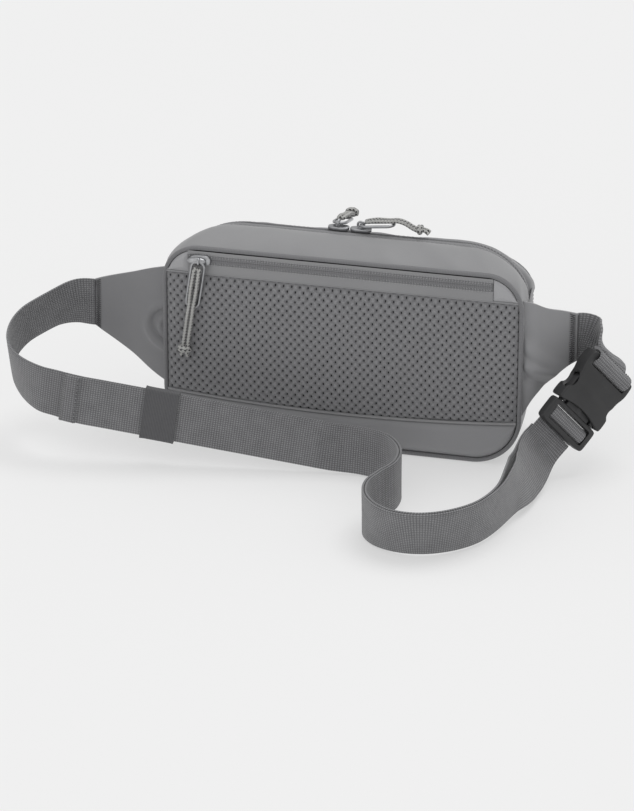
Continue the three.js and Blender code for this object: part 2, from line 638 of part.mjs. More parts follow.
// Route of the belt's outer layer: round the left loop, along the front of the pack in one
// straight stretch, through the S-turn on the floor and up to the buckle.
const BELT_ROUTE = [
  vec(LEFT_WING_END.x - 1.2, LEFT_WING_END.y + 0.1, LEFT_WING_END.middle),
  vec(-SIDE - 63, 17.6, 76),
  vec(-SIDE - 74.5, 12.5, 73.4),
  vec(-SIDE - 85, 4, 69),
  vec(-SIDE - 92.5, -5, 65),
  vec(-SIDE - 96.5, -15, 60),
  vec(-SIDE - 96, -26, ON_EDGE + 39.5),
  vec(-SIDE - 91, -37.5, ON_EDGE + 35.5),
  vec(-SIDE - 81.5, -48, ON_EDGE + 32),
  vec(-SIDE - 69, -56, ON_EDGE + 29.5),
  vec(-SIDE - 54.5, -60, ON_EDGE + 27.3),
  ...[0, 0.08, 0.25, 0.5, 0.75, 0.92, 1].map(alongStraight),
  vec(SIDE - 94, -40.5, ON_EDGE + 1.4),
  vec(SIDE - 77, -46, ON_EDGE + 0.9),
  vec(SIDE - 66, -62, ON_EDGE + 0.7),
  vec(SIDE - 64, -81, ON_EDGE + 0.6),
  vec(SIDE - 70, -98, ON_EDGE + 0.6),
  vec(SIDE - 74, -113, ON_EDGE + 0.9),
  vec(SIDE - 71.5, -128, ON_EDGE + 1.1),
  vec(SIDE - 62.5, -141, ON_EDGE + 1.1),
  vec(SIDE - 49, -149, ON_EDGE + 1.1),
  vec(SIDE - 33, -150.5, ON_EDGE + 1.1),
  vec(SIDE - 17.5, -144, ON_EDGE + 1.2),
  vec(SIDE - 1.5, -128, ON_EDGE + 1.5),
  vec(SIDE + 8, -106.5, ON_EDGE + 2.9),
  vec(SIDE + 13.5, -77, ON_EDGE + 5.4),
  vec(SIDE + 14.3, -46, ON_EDGE + 1.8),
  inBuckle(-14, -TAIL_DEPTH, 0).add(vec(0, 0, 1)),
  inBuckle(0.5, -TAIL_DEPTH, 0),
];

const BELT_STEPS = 110;
const beltCurve = new THREE.CatmullRomCurve3(BELT_ROUTE, false, 'centripetal');
const beltLength = beltCurve.getLength();

// Lean of the webbing's width direction: upright, then leaning out on the S-turn, then turned
// into the buckle's own width direction.
function beltUp(u) {
  const smooth = THREE.MathUtils.smoothstep;
  const lean = smooth(u, 0.62, 0.72) * (1 - smooth(u, 0.82, 0.97));
  const turnIn = smooth(u, 0.84, 0.985);
  return vec(0, 0, 1).addScaledVector(vec(0.05, -0.32, 0), lean).normalize()
    .multiplyScalar(1 - turnIn).addScaledVector(buckleWidth, -turnIn).normalize();
}

function beltSections() {
  const sections = [];
  for (let i = 0; i <= BELT_STEPS; i++) {
    const u = i / BELT_STEPS;
    const along = beltCurve.getTangentAt(u);
    const up = beltUp(u);
    up.addScaledVector(along, -up.dot(along)).normalize();
    const side = vec(0, 0, 0).crossVectors(up, along);      // away from the outer layer
    sections.push({ centre: beltCurve.getPointAt(u), along, up, side, run: u * beltLength });
  }
  return sections;
}

function ribbon(sections, shift, thick = () => WEB_THICK, width = WEBBING) {
  const face = (out) => sections.map((s) => [-1, 0, 1].map((across) => s.centre.clone()
    .addScaledVector(s.side, shift(s) + (out * thick(s)) / 2)
    .addScaledVector(s.up, (across * width) / 2)));
  return thickSheet(face(-1), face(1));
}

const TAIL_RUN = 139;            // the loose end starts this far along the belt
const KEEPER_AT = 0.32;          // keeper's place on the straight stretch

// The inner layer stands off the outer one, most of all where the belt rises to the buckle.
function innerShift(run) {
  const smooth = THREE.MathUtils.smoothstep;
  const base = (WEB_THICK + LAYER_GAP) * smooth(run, TAIL_RUN - 18, TAIL_RUN - 4);
  const rise = (run - beltLength + 118) / 100;
  const bulge = rise > 0 && rise < 1 ? 6 * Math.sin(Math.PI * rise) ** 2 : 0;
  return base + bulge;
}

function addBelt() {
  const sections = beltSections();
  addPiece('belt_webbing', ribbon(sections.slice(0, -1), (s) => innerShift(s.run)), WEB);
  const tail = sections.filter((s) => s.run >= TAIL_RUN);
  const hemEnd = tail[0].run + HEM_LENGTH;
  addPiece('belt_tail', ribbon(tail, (s) => (s.run < hemEnd ? -WEB_THICK / 2 : 0),
    (s) => (s.run < hemEnd ? 2 * WEB_THICK : WEB_THICK)), WEB);

  // Elastic keeper: a sleeve round both layers, square to the straight stretch.
  const along = straightEnd.clone().sub(straightStart).normalize();
  const up = vec(0, 0, 1).addScaledVector(along, -along.z).normalize();
  const side = vec(0, 0, 0).crossVectors(up, along);
  const sleeve = new THREE.Group();
  sleeve.applyMatrix4(new THREE.Matrix4().makeBasis(along, side, up)
    .setPosition(alongStraight(KEEPER_AT)));
  rearSeam.add(sleeve);
  const low = -WEB_THICK / 2 - FIT;
  const high = WEB_THICK * 1.5 + LAYER_GAP + FIT;
  const tall = WEBBING / 2 + FIT;
  const reach = KEEPER_LENGTH / 2;
  addPiece('elastic_keeper', cutAway(
    block(-reach, reach, low - KEEPER_WALL, high + KEEPER_WALL, -tall - KEEPER_WALL, tall + KEEPER_WALL),
    block(-reach - 1, reach + 1, low, high, -tall, tall)), ELASTIC, sleeve);
}

// The short webbing of the right wing, as far as the back of the buckle's female half.
function addShortWebbing() {
  const { x, y, middle } = RIGHT_WING_END;
  const path = new THREE.CatmullRomCurve3([vec(x + 1.3, y + 1.8, middle),
    vec(SIDE + 36, 34.2, middle - 0.8), vec(SIDE + 43.5, 37.5, middle - 3.5)]);
  const sections = [];
  for (let i = 0; i <= 10; i++) {
    const u = i / 10;
    const along = path.getTangentAt(u);
    const turnIn = THREE.MathUtils.smoothstep(u, 0.1, 1);
    const up = vec(0, 0, 1).multiplyScalar(1 - turnIn).addScaledVector(buckleWidth, -turnIn);
    up.addScaledVector(along, -up.dot(along)).normalize();
    sections.push({ centre: path.getPointAt(u), up, side: vec(0, 0, 0).crossVectors(up, along) });
  }
  addPiece('short_webbing', ribbon(sections, () => 0), WEB);
}

// ---------------------------------------------------------------- buckle
// Built lying down: X from the ladder-lock end to the far bar, Y out of its face, Z across.
function strapFold(points, thick = WEB_THICK - 0.1) {
  const curve = new THREE.CatmullRomCurve3(points.map(([x, y]) => vec(x, y, 0)), false, 'centripetal');
  const sections = [];
  const count = points.length * 3;
  for (let i = 0; i <= count; i++) {
    const along = curve.getTangentAt(i / count);
    sections.push({ centre: curve.getPointAt(i / count), up: vec(0, 0, 1),
      side: vec(-along.y, along.x, 0) });
  }
  return ribbon(sections, () => 0, () => thick);
}

function roundedBlock(xLow, xHigh, zHalf, radius, thick, endInset = 0) {
  const shape = new THREE.Shape();
  shape.moveTo(xLow, -zHalf + radius);
  shape.quadraticCurveTo(xLow, -zHalf, xLow + radius, -zHalf);
  shape.lineTo(xHigh - radius, -zHalf + endInset);
  shape.quadraticCurveTo(xHigh, -zHalf + endInset, xHigh, -zHalf + endInset + radius);
  shape.lineTo(xHigh, zHalf - endInset - radius);
  shape.quadraticCurveTo(xHigh, zHalf - endInset, xHigh - radius, zHalf - endInset);
  shape.lineTo(xLow + radius, zHalf);
  shape.quadraticCurveTo(xLow, zHalf, xLow, zHalf - radius);
  return plate(shape, -thick / 2, thick / 2);
}

function addBuckle() {
  const buckle = new THREE.Group();
  buckle.applyMatrix4(new THREE.Matrix4()
    .makeBasis(buckleAxis, buckleNormal, vec(0, 0, 0).crossVectors(buckleAxis, buckleNormal))
    .setPosition(buckleOrigin));
  rearSeam.add(buckle);
  const halfSlot = STRAP_SLOT / 2;
  const through = FEMALE_THICK;

  // Male half: frame with the ladder lock's bar across its window, guide and two prongs.
  const barNear = 6.8;
  const barFar = 9.8;
  const frame = cutAway(roundedBlock(0, MALE_LENGTH, BUCKLE_WIDTH / 2, 2.5, MALE_THICK),
    block(2.6, 14.2, -through, through, -halfSlot, halfSlot));
  const bar = block(barNear, barFar, -1.8, 1.1, -halfSlot - 1, halfSlot + 1);
  addPiece('buckle_male_frame', joined(frame, bar), ACETAL, buckle);
  addPiece('strap_through_lock', strapFold(
    [[12.3, -4.2], [12.3, -1.6], [12.1, 0.9], [10.6, 2.4], [8.3, 2.6], [6, 2.4], [4.5, 0.9],
      [4.4, -1.2]]), WEB, buckle);
  const tipStart = MALE_LENGTH + GAP;
  addPiece('buckle_centre_guide', block(tipStart, tipStart + PRONG_LENGTH - 3,
    -PRONG_THICK / 2, PRONG_THICK / 2, -GUIDE_WIDTH / 2, GUIDE_WIDTH / 2), ACETAL, buckle);

  const cavityHalf = BUCKLE_WIDTH / 2 - BUCKLE_WALL;
  for (const [side, name] of [[-1, 'upper'], [1, 'lower']]) {
    const tip = tipStart + PRONG_LENGTH;
    const outer = cavityHalf - GAP;
    const prong = new THREE.Shape();
    prong.moveTo(tipStart, side * (outer - 1.4 - PRONG_WIDTH / 2));
    prong.lineTo(tipStart + 11, side * (outer - 1.2 - PRONG_WIDTH / 2));
    prong.lineTo(tip, side * (outer - PRONG_WIDTH));
    prong.lineTo(tip, side * (outer - 1.6));
    prong.lineTo(tip - 4, side * outer);
    prong.lineTo(tipStart + 9, side * outer);
    prong.lineTo(tipStart + 5.5, side * (outer - 1.2));
    prong.lineTo(tipStart, side * (outer - 1.2));
    addPiece(`buckle_prong_${name}`, plate(prong, -PRONG_THICK / 2, PRONG_THICK / 2), ACETAL, buckle);
  }

  // Female half: cavity open at the mouth, a window in each side, and a slot and bar at its end.
  const mouth = MALE_LENGTH + GAP;
  const end = mouth + FEMALE_LENGTH;
  const windowLow = tipStart + 6.5;
  const windowHigh = tipStart + PRONG_LENGTH - 0.5;
  const cavityEnd = tipStart + PRONG_LENGTH + 1.5;
  const barSlot = end - 4.2;
  const halfCavity = BUCKLE_CAVITY / 2;
  addPiece('buckle_female', cutAway(
    roundedBlock(mouth, end, BUCKLE_WIDTH / 2, 2.2, FEMALE_THICK, 2),
    block(mouth - 1, cavityEnd, -halfCavity, halfCavity, -cavityHalf, cavityHalf),
    block(windowLow, windowHigh, -halfCavity, halfCavity, -BUCKLE_WIDTH, BUCKLE_WIDTH),
    block(barSlot - 5.6, barSlot, -through, through, -halfSlot, halfSlot)), ACETAL, buckle);
  addPiece('buckle_strap_loop', strapFold(
    [[barSlot - 2.8, -3.2], [barSlot - 2.8, 3.2], [barSlot - 2, 6.2], [barSlot + 0.4, 7.4],
      [end - 1.6, 7.3], [end + 1.2, 5.4], [end + 2, 2], [end + 2.1, -2], [end + 1.4, -6.5]]),
  WEB, buckle);
}

addCaseWalls();
addPanels();
addSliders(addBackPanel());
addWings();
addBelt();
addShortWebbing();
addBuckle();

export default pack;
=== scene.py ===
# Waist pack with a mesh back, cord zip pulls, hip wings and a webbing belt that lies on the floor.
# Sizes are written in millimetres, with y measured from the rear seam, and turned to metres by at().
import math

import bmesh
import bpy
from mathutils import Matrix, Vector, noise


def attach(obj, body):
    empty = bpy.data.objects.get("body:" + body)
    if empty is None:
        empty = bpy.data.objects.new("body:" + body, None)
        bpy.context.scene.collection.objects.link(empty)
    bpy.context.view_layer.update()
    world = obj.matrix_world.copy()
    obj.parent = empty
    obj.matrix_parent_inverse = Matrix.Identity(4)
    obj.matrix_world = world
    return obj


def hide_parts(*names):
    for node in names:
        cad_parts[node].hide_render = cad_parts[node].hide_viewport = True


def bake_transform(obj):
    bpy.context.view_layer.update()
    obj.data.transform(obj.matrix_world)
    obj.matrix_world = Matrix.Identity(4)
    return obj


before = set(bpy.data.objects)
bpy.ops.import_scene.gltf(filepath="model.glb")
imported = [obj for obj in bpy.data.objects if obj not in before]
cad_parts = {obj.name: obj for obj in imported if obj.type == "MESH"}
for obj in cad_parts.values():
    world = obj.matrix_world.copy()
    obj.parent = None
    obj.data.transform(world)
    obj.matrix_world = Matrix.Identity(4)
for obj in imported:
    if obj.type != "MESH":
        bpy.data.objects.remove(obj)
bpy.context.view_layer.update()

MM = 0.001
CASE_WIDTH, CASE_HEIGHT, CASE_DEPTH = 236, 130, 66
TOP_RADIUS, BOTTOM_RADIUS = 24, 32
CROWN = 7.2                     # how far the top bows up between its seams
FRONT_DROP, FRONT_TAPER = 10, 8 # the front seam is lower at the top and further in at the sides
CORNER_SOFTENING = 18           # the upper corners are wider by this from the main zip on
MAIN_ZIP_END = CASE_HEIGHT - 34
ZIP_SETBACK = CASE_DEPTH / 2 + 4
SIDE = CASE_WIDTH / 2
WEBBING = 32
WEB_THICK = 1.4
LAYER_GAP = 0.4
TAPE_REACH = 7.4                # from the main zip's middle to the seam of its tape
MAIN_COIL, BACK_COIL = 3.4, 5.8
PIPING_RADIUS = 1.4
WING_TOP, WING_BOTTOM = CASE_HEIGHT - 18, 33
WING_ROOT = WING_TOP - WING_BOTTOM
MESH_TOP, MESH_BOTTOM, MESH_SAG = CASE_HEIGHT - 18.4, 30, 5.5
PANEL_INSET = 3.1
BACK_ZIP_LEFT, BACK_ZIP_RIGHT = -SIDE + 17.5, SIDE - 19.5
BACK_ZIP_HEIGHT = CASE_HEIGHT - 8.4


def at(x, y, z):
    """A place in metres, from millimetres measured from the rear seam."""
    return Vector((x, y - CASE_DEPTH / 2, z)) * MM


def ease(low, high, x):
    t = min(max((x - low) / (high - low), 0), 1)
    return t * t * (3 - 2 * t)


def mix(a, b, t):
    return a + (b - a) * t


def ripple_noise(x, y, z, size):
    """Smooth noise from -1 to 1, its lumps about size millimetres across."""
    return noise.noise(Vector((x, y, z)) / size)


# ------------------------------------------------------------------ camera, light and floor
def set_camera():
    azimuth, elevation, distance = math.radians(14.589), math.radians(23.69), 2.6
    target = Vector((0, -0.033, 0.064))
    back = Vector((math.sin(azimuth) * math.cos(elevation),
                   -math.cos(azimuth) * math.cos(elevation), math.sin(elevation)))
    right = Vector((math.cos(azimuth), math.sin(azimuth), 0))
    up = back.cross(right)
    slide = right * -0.0156 + up * -0.0320      # centres the pack a little above the middle
    bpy.ops.object.camera_add(location=target + back * distance + slide)
    camera = bpy.context.object
    camera.rotation_euler = Matrix((right, up, back)).transposed().to_euler()
    camera.data.lens = 180.9
    camera.data.sensor_width = 36
    camera.data.clip_end = 60
    bpy.context.scene.camera = camera


def add_sun(name, strength, softness, direction):
    """A sun whose light comes from direction."""
    bpy.ops.object.light_add(type='SUN')
    sun = bpy.context.object
    sun.name = name
    sun.data.energy = strength
    sun.data.angle = math.radians(softness)
    sun.rotation_euler = Vector(direction).to_track_quat('Z', 'Y').to_euler()


set_camera()
world = bpy.data.worlds.new("studio")
world.use_nodes = True
world.node_tree.nodes["Background"].inputs["Color"].default_value = (1, 1, 1, 1)
world.node_tree.nodes["Background"].inputs["Strength"].default_value = 0.62
bpy.context.scene.world = world
bpy.context.scene.view_settings.view_transform = 'Standard'
add_sun("overhead softbox", 0.95, 40, (0.20, 0.30, 1.0))
add_sun("front fill", 0.30, 60, (-0.45, -0.9, 0.75))


# ------------------------------------------------------------------ materials
def linear(colour):
    """sRGB hex to a linear colour."""
    parts = [int(colour[i:i + 2], 16) / 255 for i in (1, 3, 5)]
    return tuple(c / 12.92 if c <= 0.04045 else ((c + 0.055) / 1.055) ** 2.4 for c in parts) + (1,)


def add(tree, kind, settings=None, links=None):
    """A node with its settings and its links."""
    made = tree.nodes.new("ShaderNode" + kind)
    for key, value in (settings or {}).items():
        if isinstance(key, str) and hasattr(made, key):
            setattr(made, key, value)
        else:
            made.inputs[key].default_value = value
    for key, source in (links or {}).items():
        tree.links.new(source, made.inputs[key])
    return made


def begin(name, **sockets):
    material = bpy.data.materials.new(name)
    material.use_nodes = True
    tree = material.node_tree
    for key, value in sockets.items():
        tree.nodes["Principled BSDF"].inputs[key.replace("_", " ")].default_value = value
    return material, tree


def math_node(tree, operation, a, b=None, clamp=False):
    made = add(tree, "Math", {"operation": operation, "use_clamp": clamp})
    for i, value in enumerate((a, b)):
        if value is None:
            continue
        if isinstance(value, (int, float)):
            made.inputs[i].default_value = value
        else:
            tree.links.new(value, made.inputs[i])
    return made.outputs[0]


def times(tree, a, b):
    return math_node(tree, "MULTIPLY", a, b)


def plus(tree, a, b, clamp=False):
    return math_node(tree, "ADD", a, b, clamp)


def minus(tree, a, b, clamp=False):
    return math_node(tree, "SUBTRACT", a, b, clamp)


def wave(tree, along, period_mm):
    """A sine along a coordinate in metres, from -1 to 1."""
    return math_node(tree, "SINE", times(tree, along, 2 * math.pi / (period_mm * MM)))


def rows(tree, along, period_mm):
    """The same sine from 0 to 1."""
    return plus(tree, times(tree, wave(tree, along, period_mm), 0.5), 0.5)


def blotches(tree, size_mm, detail=3):
    """Soft noise from 0 to 1 on Object coordinates, its lumps size_mm across."""
    place = add(tree, "TexCoord").outputs["Object"]
    return add(tree, "TexNoise", {"Scale": 1 / (size_mm * MM), "Detail": detail, "Roughness": 0.55},
               {"Vector": place}).outputs["Fac"]


def blend_colours(tree, factor, first, second):
    """Two colours, each a hex string or a node's output, mixed by factor."""
    settings, links = {"data_type": 'RGBA'}, {0: factor}
    for socket, colour in ((6, first), (7, second)):
        if isinstance(colour, str):
            settings[socket] = linear(colour)
        else:
            links[socket] = colour
    return add(tree, "Mix", settings, links).outputs[2]


def drive(material, socket, source):
    """Link a node's output to a socket of the material's shader."""
    tree = material.node_tree
    tree.links.new(source, tree.nodes["Principled BSDF"].inputs[socket])


def smooth_step(tree, value, low, high):
    """From 0 at low to 1 at high."""
    return add(tree, "MapRange", {"interpolation_type": 'SMOOTHSTEP', 1: low, 2: high}, {0: value}).outputs[0]


def finish(material, colour, height, depth_mm, strength):
    """Give a material its colour and its relief."""
    drive(material, "Base Color", colour)
    bump = add(material.node_tree, "Bump", {"Strength": strength, "Distance": depth_mm * MM}, {"Height": height})
    drive(material, "Normal", bump.outputs["Normal"])
    return material


def split_uv(tree):
    uv = add(tree, "SeparateXYZ", {}, {"Vector": add(tree, "UVMap").outputs["UV"]})
    return uv.outputs["X"], uv.outputs["Y"]


def coated_nylon(name, dark, light):
    """Coated nylon pack cloth: smooth, with a low satin gloss and a faint fine weave."""
    material, tree = begin(name, Roughness=0.5, Sheen_Weight=0.15, Specular_IOR_Level=0.35)
    fine = blotches(tree, 0.9, 4)          # real yarns are 0.3 mm apart, drawn coarser to show
    shade = plus(tree, times(tree, blotches(tree, 45, 2), 0.8), times(tree, fine, 0.25), clamp=True)
    return finish(material, blend_colours(tree, shade, dark, light), fine, 0.10, 0.5)


def spacer_mesh():
    """Knitted spacer mesh: matt, a diamond knit round small eyelets; the eyelets are not cut but painted near black as
    shade, and the diamonds carry painted light and shade.
    """
    material, tree = begin("spacer_mesh_knit", Roughness=0.85, Sheen_Weight=0.2, Specular_IOR_Level=0.25)
    x, z = split_uv(tree)

    def eyelet(offset):
        """Distance from the nearest hole of one of the two staggered sets, in millimetres."""
        dx, dz = (times(tree, minus(tree, math_node(tree, "FRACT", plus(tree, way, offset)), 0.5), step)
                  for way, step in ((x, EYELET_ACROSS / EYELET_SQUEEZE), (z, EYELET_UP)))
        return math_node(tree, "SQRT", plus(tree, math_node(tree, "POWER", dx, 2), math_node(tree, "POWER", dz, 2)))

    nearest = math_node(tree, "MINIMUM", eyelet(0.0), eyelet(0.5))
    knit = blotches(tree, 1.1, 4)
    # one wave to each hole: the map is 1 from hole to hole, and wave() counts in thousandths
    scales = times(tree, *(wave(tree, plus(tree, way, 0.25), 1000) for way in (x, z)))
    # Painted light and shade: the knit is coloured lighter on its raised bumps between the holes and darker in the dips
    # at the holes.
    shade = minus(tree, times(tree, knit, 0.9), times(tree, scales, 0.2), clamp=True)
    yarn = blend_colours(tree, shade, "#5E5E60", "#A0A0A2")
    # Painted shade: the eyelets are not cut, so the shade inside them is drawn as a near-black colour.
    colour = blend_colours(tree, smooth_step(tree, nearest, 0.5, 1.0), "#1B1B1D", yarn)
    return finish(material, colour, knit, 0.35, 0.8)


def woven(name, dark, light, along_mm, across_mm, depth_mm):
    """Woven tape: yarns that pass over and under, along_mm and across_mm apart."""
    material, tree = begin(name, Roughness=0.7, Sheen_Weight=0.25, Specular_IOR_Level=0.3)
    u, v = split_uv(tree)
    height = math_node(tree, "POWER", times(tree, rows(tree, u, along_mm), rows(tree, v, across_mm)), 0.6)
    # The colour follows the weave's height: painted shade between the yarns, with random tone from the blotches.
    shade = plus(tree, times(tree, height, 0.75), times(tree, blotches(tree, 9, 2), 0.3), clamp=True)
    return finish(material, blend_colours(tree, shade, dark, light), height, depth_mm, 0.8)


def ribbed(name, dark, light, along_mm, depth_mm, rough=0.8):
    """Knitted or corded cloth with straight ribs across its length."""
    material, tree = begin(name, Roughness=rough, Sheen_Weight=0.2, Specular_IOR_Level=0.25)
    height = rows(tree, split_uv(tree)[0], along_mm)
    # The colour follows the ribs' height: painted shade in the grooves, with random tone from the blotches.
    shade = plus(tree, times(tree, height, 0.6), times(tree, blotches(tree, 1.5, 3), 0.5), clamp=True)
    return finish(material, blend_colours(tree, shade, dark, light), height, depth_mm, 0.7)


def braided_cord():
    """Braided polyester cord: pale sheath with dark tracer flecks."""
    material, tree = begin("braided_cord_flecked", Roughness=0.7, Sheen_Weight=0.3)
    u, v = split_uv(tree)
    lengthwise = times(tree, u, 1500)      # a fleck each 4.2 mm
    one = math_node(tree, "SINE", plus(tree, lengthwise, times(tree, v, 2 * math.pi)))
    two = math_node(tree, "SINE", minus(tree, lengthwise, times(tree, v, 4 * math.pi)))
    braid = times(tree, one, two)
    pale = blend_colours(tree, blotches(tree, 1.2, 3), "#8E8E8C", "#C9C9C6")
    colour = blend_colours(tree, smooth_step(tree, braid, 0.30, 0.55), pale, "#2E2E30")
    return finish(material, colour, braid, 0.25, 0.8)


def uneven_gloss(material, grain, low, high):
    """Roughness from low to high by a pattern from 0 to 1."""
    drive(material, "Roughness", add(material.node_tree, "MapRange", {3: low, 4: high}, {0: grain}).outputs[0])


def acetal():
    """Moulded acetal: near black, a fine spark-eroded texture that scatters its gloss."""
    material, tree = begin("moulded_acetal_black", Specular_IOR_Level=0.5, IOR=1.48)
    grain = blotches(tree, 0.5, 3)          # real grain is 0.1 mm, drawn coarser to show
    uneven_gloss(material, grain, 0.36, 0.55)
    colour = blend_colours(tree, blotches(tree, 12, 3), "#252526", "#343435")
    return finish(material, colour, grain, 0.04, 0.5)


def plated_steel():
    """Nickel-plated zinc and wire: bright, with small scuffs in the plating."""
    material, tree = begin("nickel_plated_steel", Metallic=1.0)
    scuff = blotches(tree, 2.5, 5)
    uneven_gloss(material, scuff, 0.2, 0.42)
    return finish(material, blend_colours(tree, scuff, "#8F9092", "#C6C7C9"), scuff, 0.03, 0.4)


def plain_cloth(name, dark, light, rough=0.85):
    """A thread, lining or board: matt, with a little unevenness."""
    material, tree = begin(name, Roughness=rough, Sheen_Weight=0.2)
    uneven = blotches(tree, 1.6, 4)
    return finish(material, blend_colours(tree, uneven, dark, light), uneven, 0.12, 0.5)


EYELET_ACROSS, EYELET_UP = 5.35, 6.4       # spacing of one set of mesh holes
EYELET_SQUEEZE = 0.54                      # a hole's width over its height
SHELL = coated_nylon("coated_nylon_shell", "#88888A", "#989899")
# The far side of the top: the shell cloth made darker, which is painted shade.
FAR_TOP_CLOTH_PAINTED_SHADE = coated_nylon("coated_nylon_far_top_painted_shade", "#7E7E80", "#8E8E90")
# The left wing: the shell cloth made darker, which is painted shade.
LEFT_WING_PAINTED_SHADE_CLOTH = coated_nylon("coated_nylon_left_wing_painted_shade", "#7B7B7D", "#8A8A8C")
BAND_CLOTH = coated_nylon("coated_nylon_band", "#88888A", "#979799")
# The right wing: the shell cloth made lighter, which is painted light.
RIGHT_WING_PAINTED_LIGHT_CLOTH = coated_nylon("coated_nylon_right_wing_painted_light", "#8C8C8E", "#9C9C9E")
# The back zip's end caps: the shell cloth made lighter, which is painted light.
ZIP_END_CLOTH_PAINTED_LIGHT = coated_nylon("coated_nylon_zip_ends_painted_light", "#A2A2A4", "#B0B0B2")
MESH_KNIT = spacer_mesh()
WEB = woven("nylon_webbing_flat", "#525254", "#98989A", 1.6, 1.45, 0.4)
ZIP_TAPE = woven("polyester_zip_tape", "#6E6E70", "#909092", 1.4, 1.2, 0.15)
COIL = ribbed("nylon_coil_knit", "#5A5A5C", "#848486", 1.3, 0.15)
PIPING = ribbed("corded_piping_cloth", "#747476", "#848486", 1.0, 0.08)
ELASTIC = ribbed("knitted_elastic", "#4A4A4C", "#666668", 1.0, 0.15, 0.9)
THREAD = plain_cloth("bonded_thread", "#8A8A8C", "#B2B2B4", 0.6)
DARK_THREAD = plain_cloth("bonded_thread_dark", "#3A3A3C", "#555557", 0.6)
CORD_SHEATH = braided_cord()
STEEL = plated_steel()
ACETAL = acetal()
LINING = plain_cloth("lining_taffeta", "#8C8C8E", "#A4A4A6")
BOARD = plain_cloth("polyethylene_board", "#242426", "#323234", 0.5)


# ------------------------------------------------------------------ making pieces
def deselect():
    if bpy.context.object and bpy.context.object.mode != 'OBJECT':
        bpy.ops.object.mode_set(mode='OBJECT')
    bpy.ops.object.select_all(action='DESELECT')


def only(piece):
    deselect()
    piece.select_set(True)
    bpy.context.view_layer.objects.active = piece


def apply_all(piece):
    only(piece)
    for modifier in list(piece.modifiers):
        bpy.ops.object.modifier_apply(modifier=modifier.name)


def edit(piece, *steps):
    """Run edit-mode operators on the whole mesh."""
    only(piece)
    bpy.ops.object.mode_set(mode='EDIT')
    bpy.ops.mesh.select_all(action='SELECT')
    for step in steps:
        step()
    bpy.ops.object.mode_set(mode='OBJECT')


def merge():
    bpy.ops.mesh.remove_doubles(threshold=0.00001)


def face_out():
    bpy.ops.mesh.normals_make_consistent(inside=False)


def select_whole():
    bpy.ops.mesh.select_all(action='SELECT')


def select_rim():
    """Only the open edges."""
    bpy.ops.mesh.select_all(action='DESELECT')
    bpy.ops.mesh.select_non_manifold()


def fill_holes():
    bpy.ops.mesh.fill_holes(sides=0)


def extrude(y):
    bpy.ops.mesh.extrude_region_move(TRANSFORM_OT_translate={"value": (0, y, 0)})


def close_holes(piece):
    edit(piece, select_rim, fill_holes, select_whole, face_out)


def dress(piece, material, *nodes, body="pack", slot="shell_fabric", sharp=40):
    """Give a finished piece its material, smooth shading, its body, and hide the CAD nodes it stands for. The slot
    argument is not used.
    """
    piece.data.materials.clear()
    piece.data.materials.append(material)
    only(piece)
    bpy.ops.object.shade_smooth_by_angle(angle=math.radians(sharp))
    if body:
        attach(piece, body)
    if nodes:
        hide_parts(*nodes)
    return piece


def lay(name, columns, rows, place, size=(1, 1), thick=0.0, closed=False):
    """A flat grid laid on the surface place(u, v), its UV map in metres, given a thickness."""
    deselect()
    bpy.ops.mesh.primitive_grid_add(x_subdivisions=columns, y_subdivisions=rows, size=1)
    piece = bpy.context.object
    piece.name = piece.data.name = name
    for vertex in piece.data.vertices:
        vertex.co = place(vertex.co.x + 0.5, vertex.co.y + 0.5)
    for corner in piece.data.uv_layers.active.data:
        corner.uv = (corner.uv.x * size[0], corner.uv.y * size[1])
    if closed:
        edit(piece, merge)
    if thick:
        solid = piece.modifiers.new("cloth", 'SOLIDIFY')
        solid.thickness, solid.offset = thick * MM, 0
        apply_all(piece)
    edit(piece, face_out)
    return piece


def sweep(name, points, radius, sides=10, loop=False, side_hint=None):
    """A round tube along points in metres, with closed ends."""
    count = len(points)
    turns = []
    previous = None
    for i in range(count):
        after = points[(i + 1) % count] if loop or i + 1 < count else points[i]
        before = points[i - 1] if loop or i else points[i]
        tangent = (after - before).normalized()
        if side_hint is not None:
            across = Vector(side_hint) - tangent * tangent.dot(Vector(side_hint))
        elif previous is None:
            across = tangent.orthogonal()
        else:
            across = previous - tangent * tangent.dot(previous)
        previous = across.normalized()
        turns.append((previous, tangent.cross(previous)))
    steps = count if loop else count - 1
    lengths = [0.0]
    for i in range(1, count):
        lengths.append(lengths[-1] + (points[i] - points[i - 1]).length)

    def place(u, v):
        i = round(u * steps) % count if loop else round(u * steps)
        across, lift = turns[i]
        angle = 2 * math.pi * v
        return points[i] + (across * math.cos(angle) + lift * math.sin(angle)) * radius

    piece = lay(name, steps, sides, place, (lengths[-1], 1), closed=True)
    if not loop:
        close_holes(piece)
    return piece


def gather(name, template, places):
    """One mesh of copies of a small modelled piece, one at each matrix."""
    whole = bmesh.new()
    for place in places:
        start = len(whole.verts)
        whole.from_mesh(template.data)
        whole.verts.ensure_lookup_table()
        bmesh.ops.transform(whole, matrix=place, verts=whole.verts[start:])
    mesh = bpy.data.meshes.new(name)
    whole.to_mesh(mesh)
    whole.free()
    bpy.data.objects.remove(template)
    piece = bpy.data.objects.new(name, mesh)
    bpy.context.scene.collection.objects.link(piece)
    return piece


def join(name, *parts):
    deselect()
    for part in parts:
        part.select_set(True)
    bpy.context.view_layer.objects.active = parts[0]
    bpy.ops.object.join()
    parts[0].name = parts[0].data.name = name
    return parts[0]


def settle(piece):
    """Apply place, turn and scale to the mesh."""
    only(piece)
    bpy.ops.object.transform_apply(location=True, rotation=True, scale=True)
    return piece


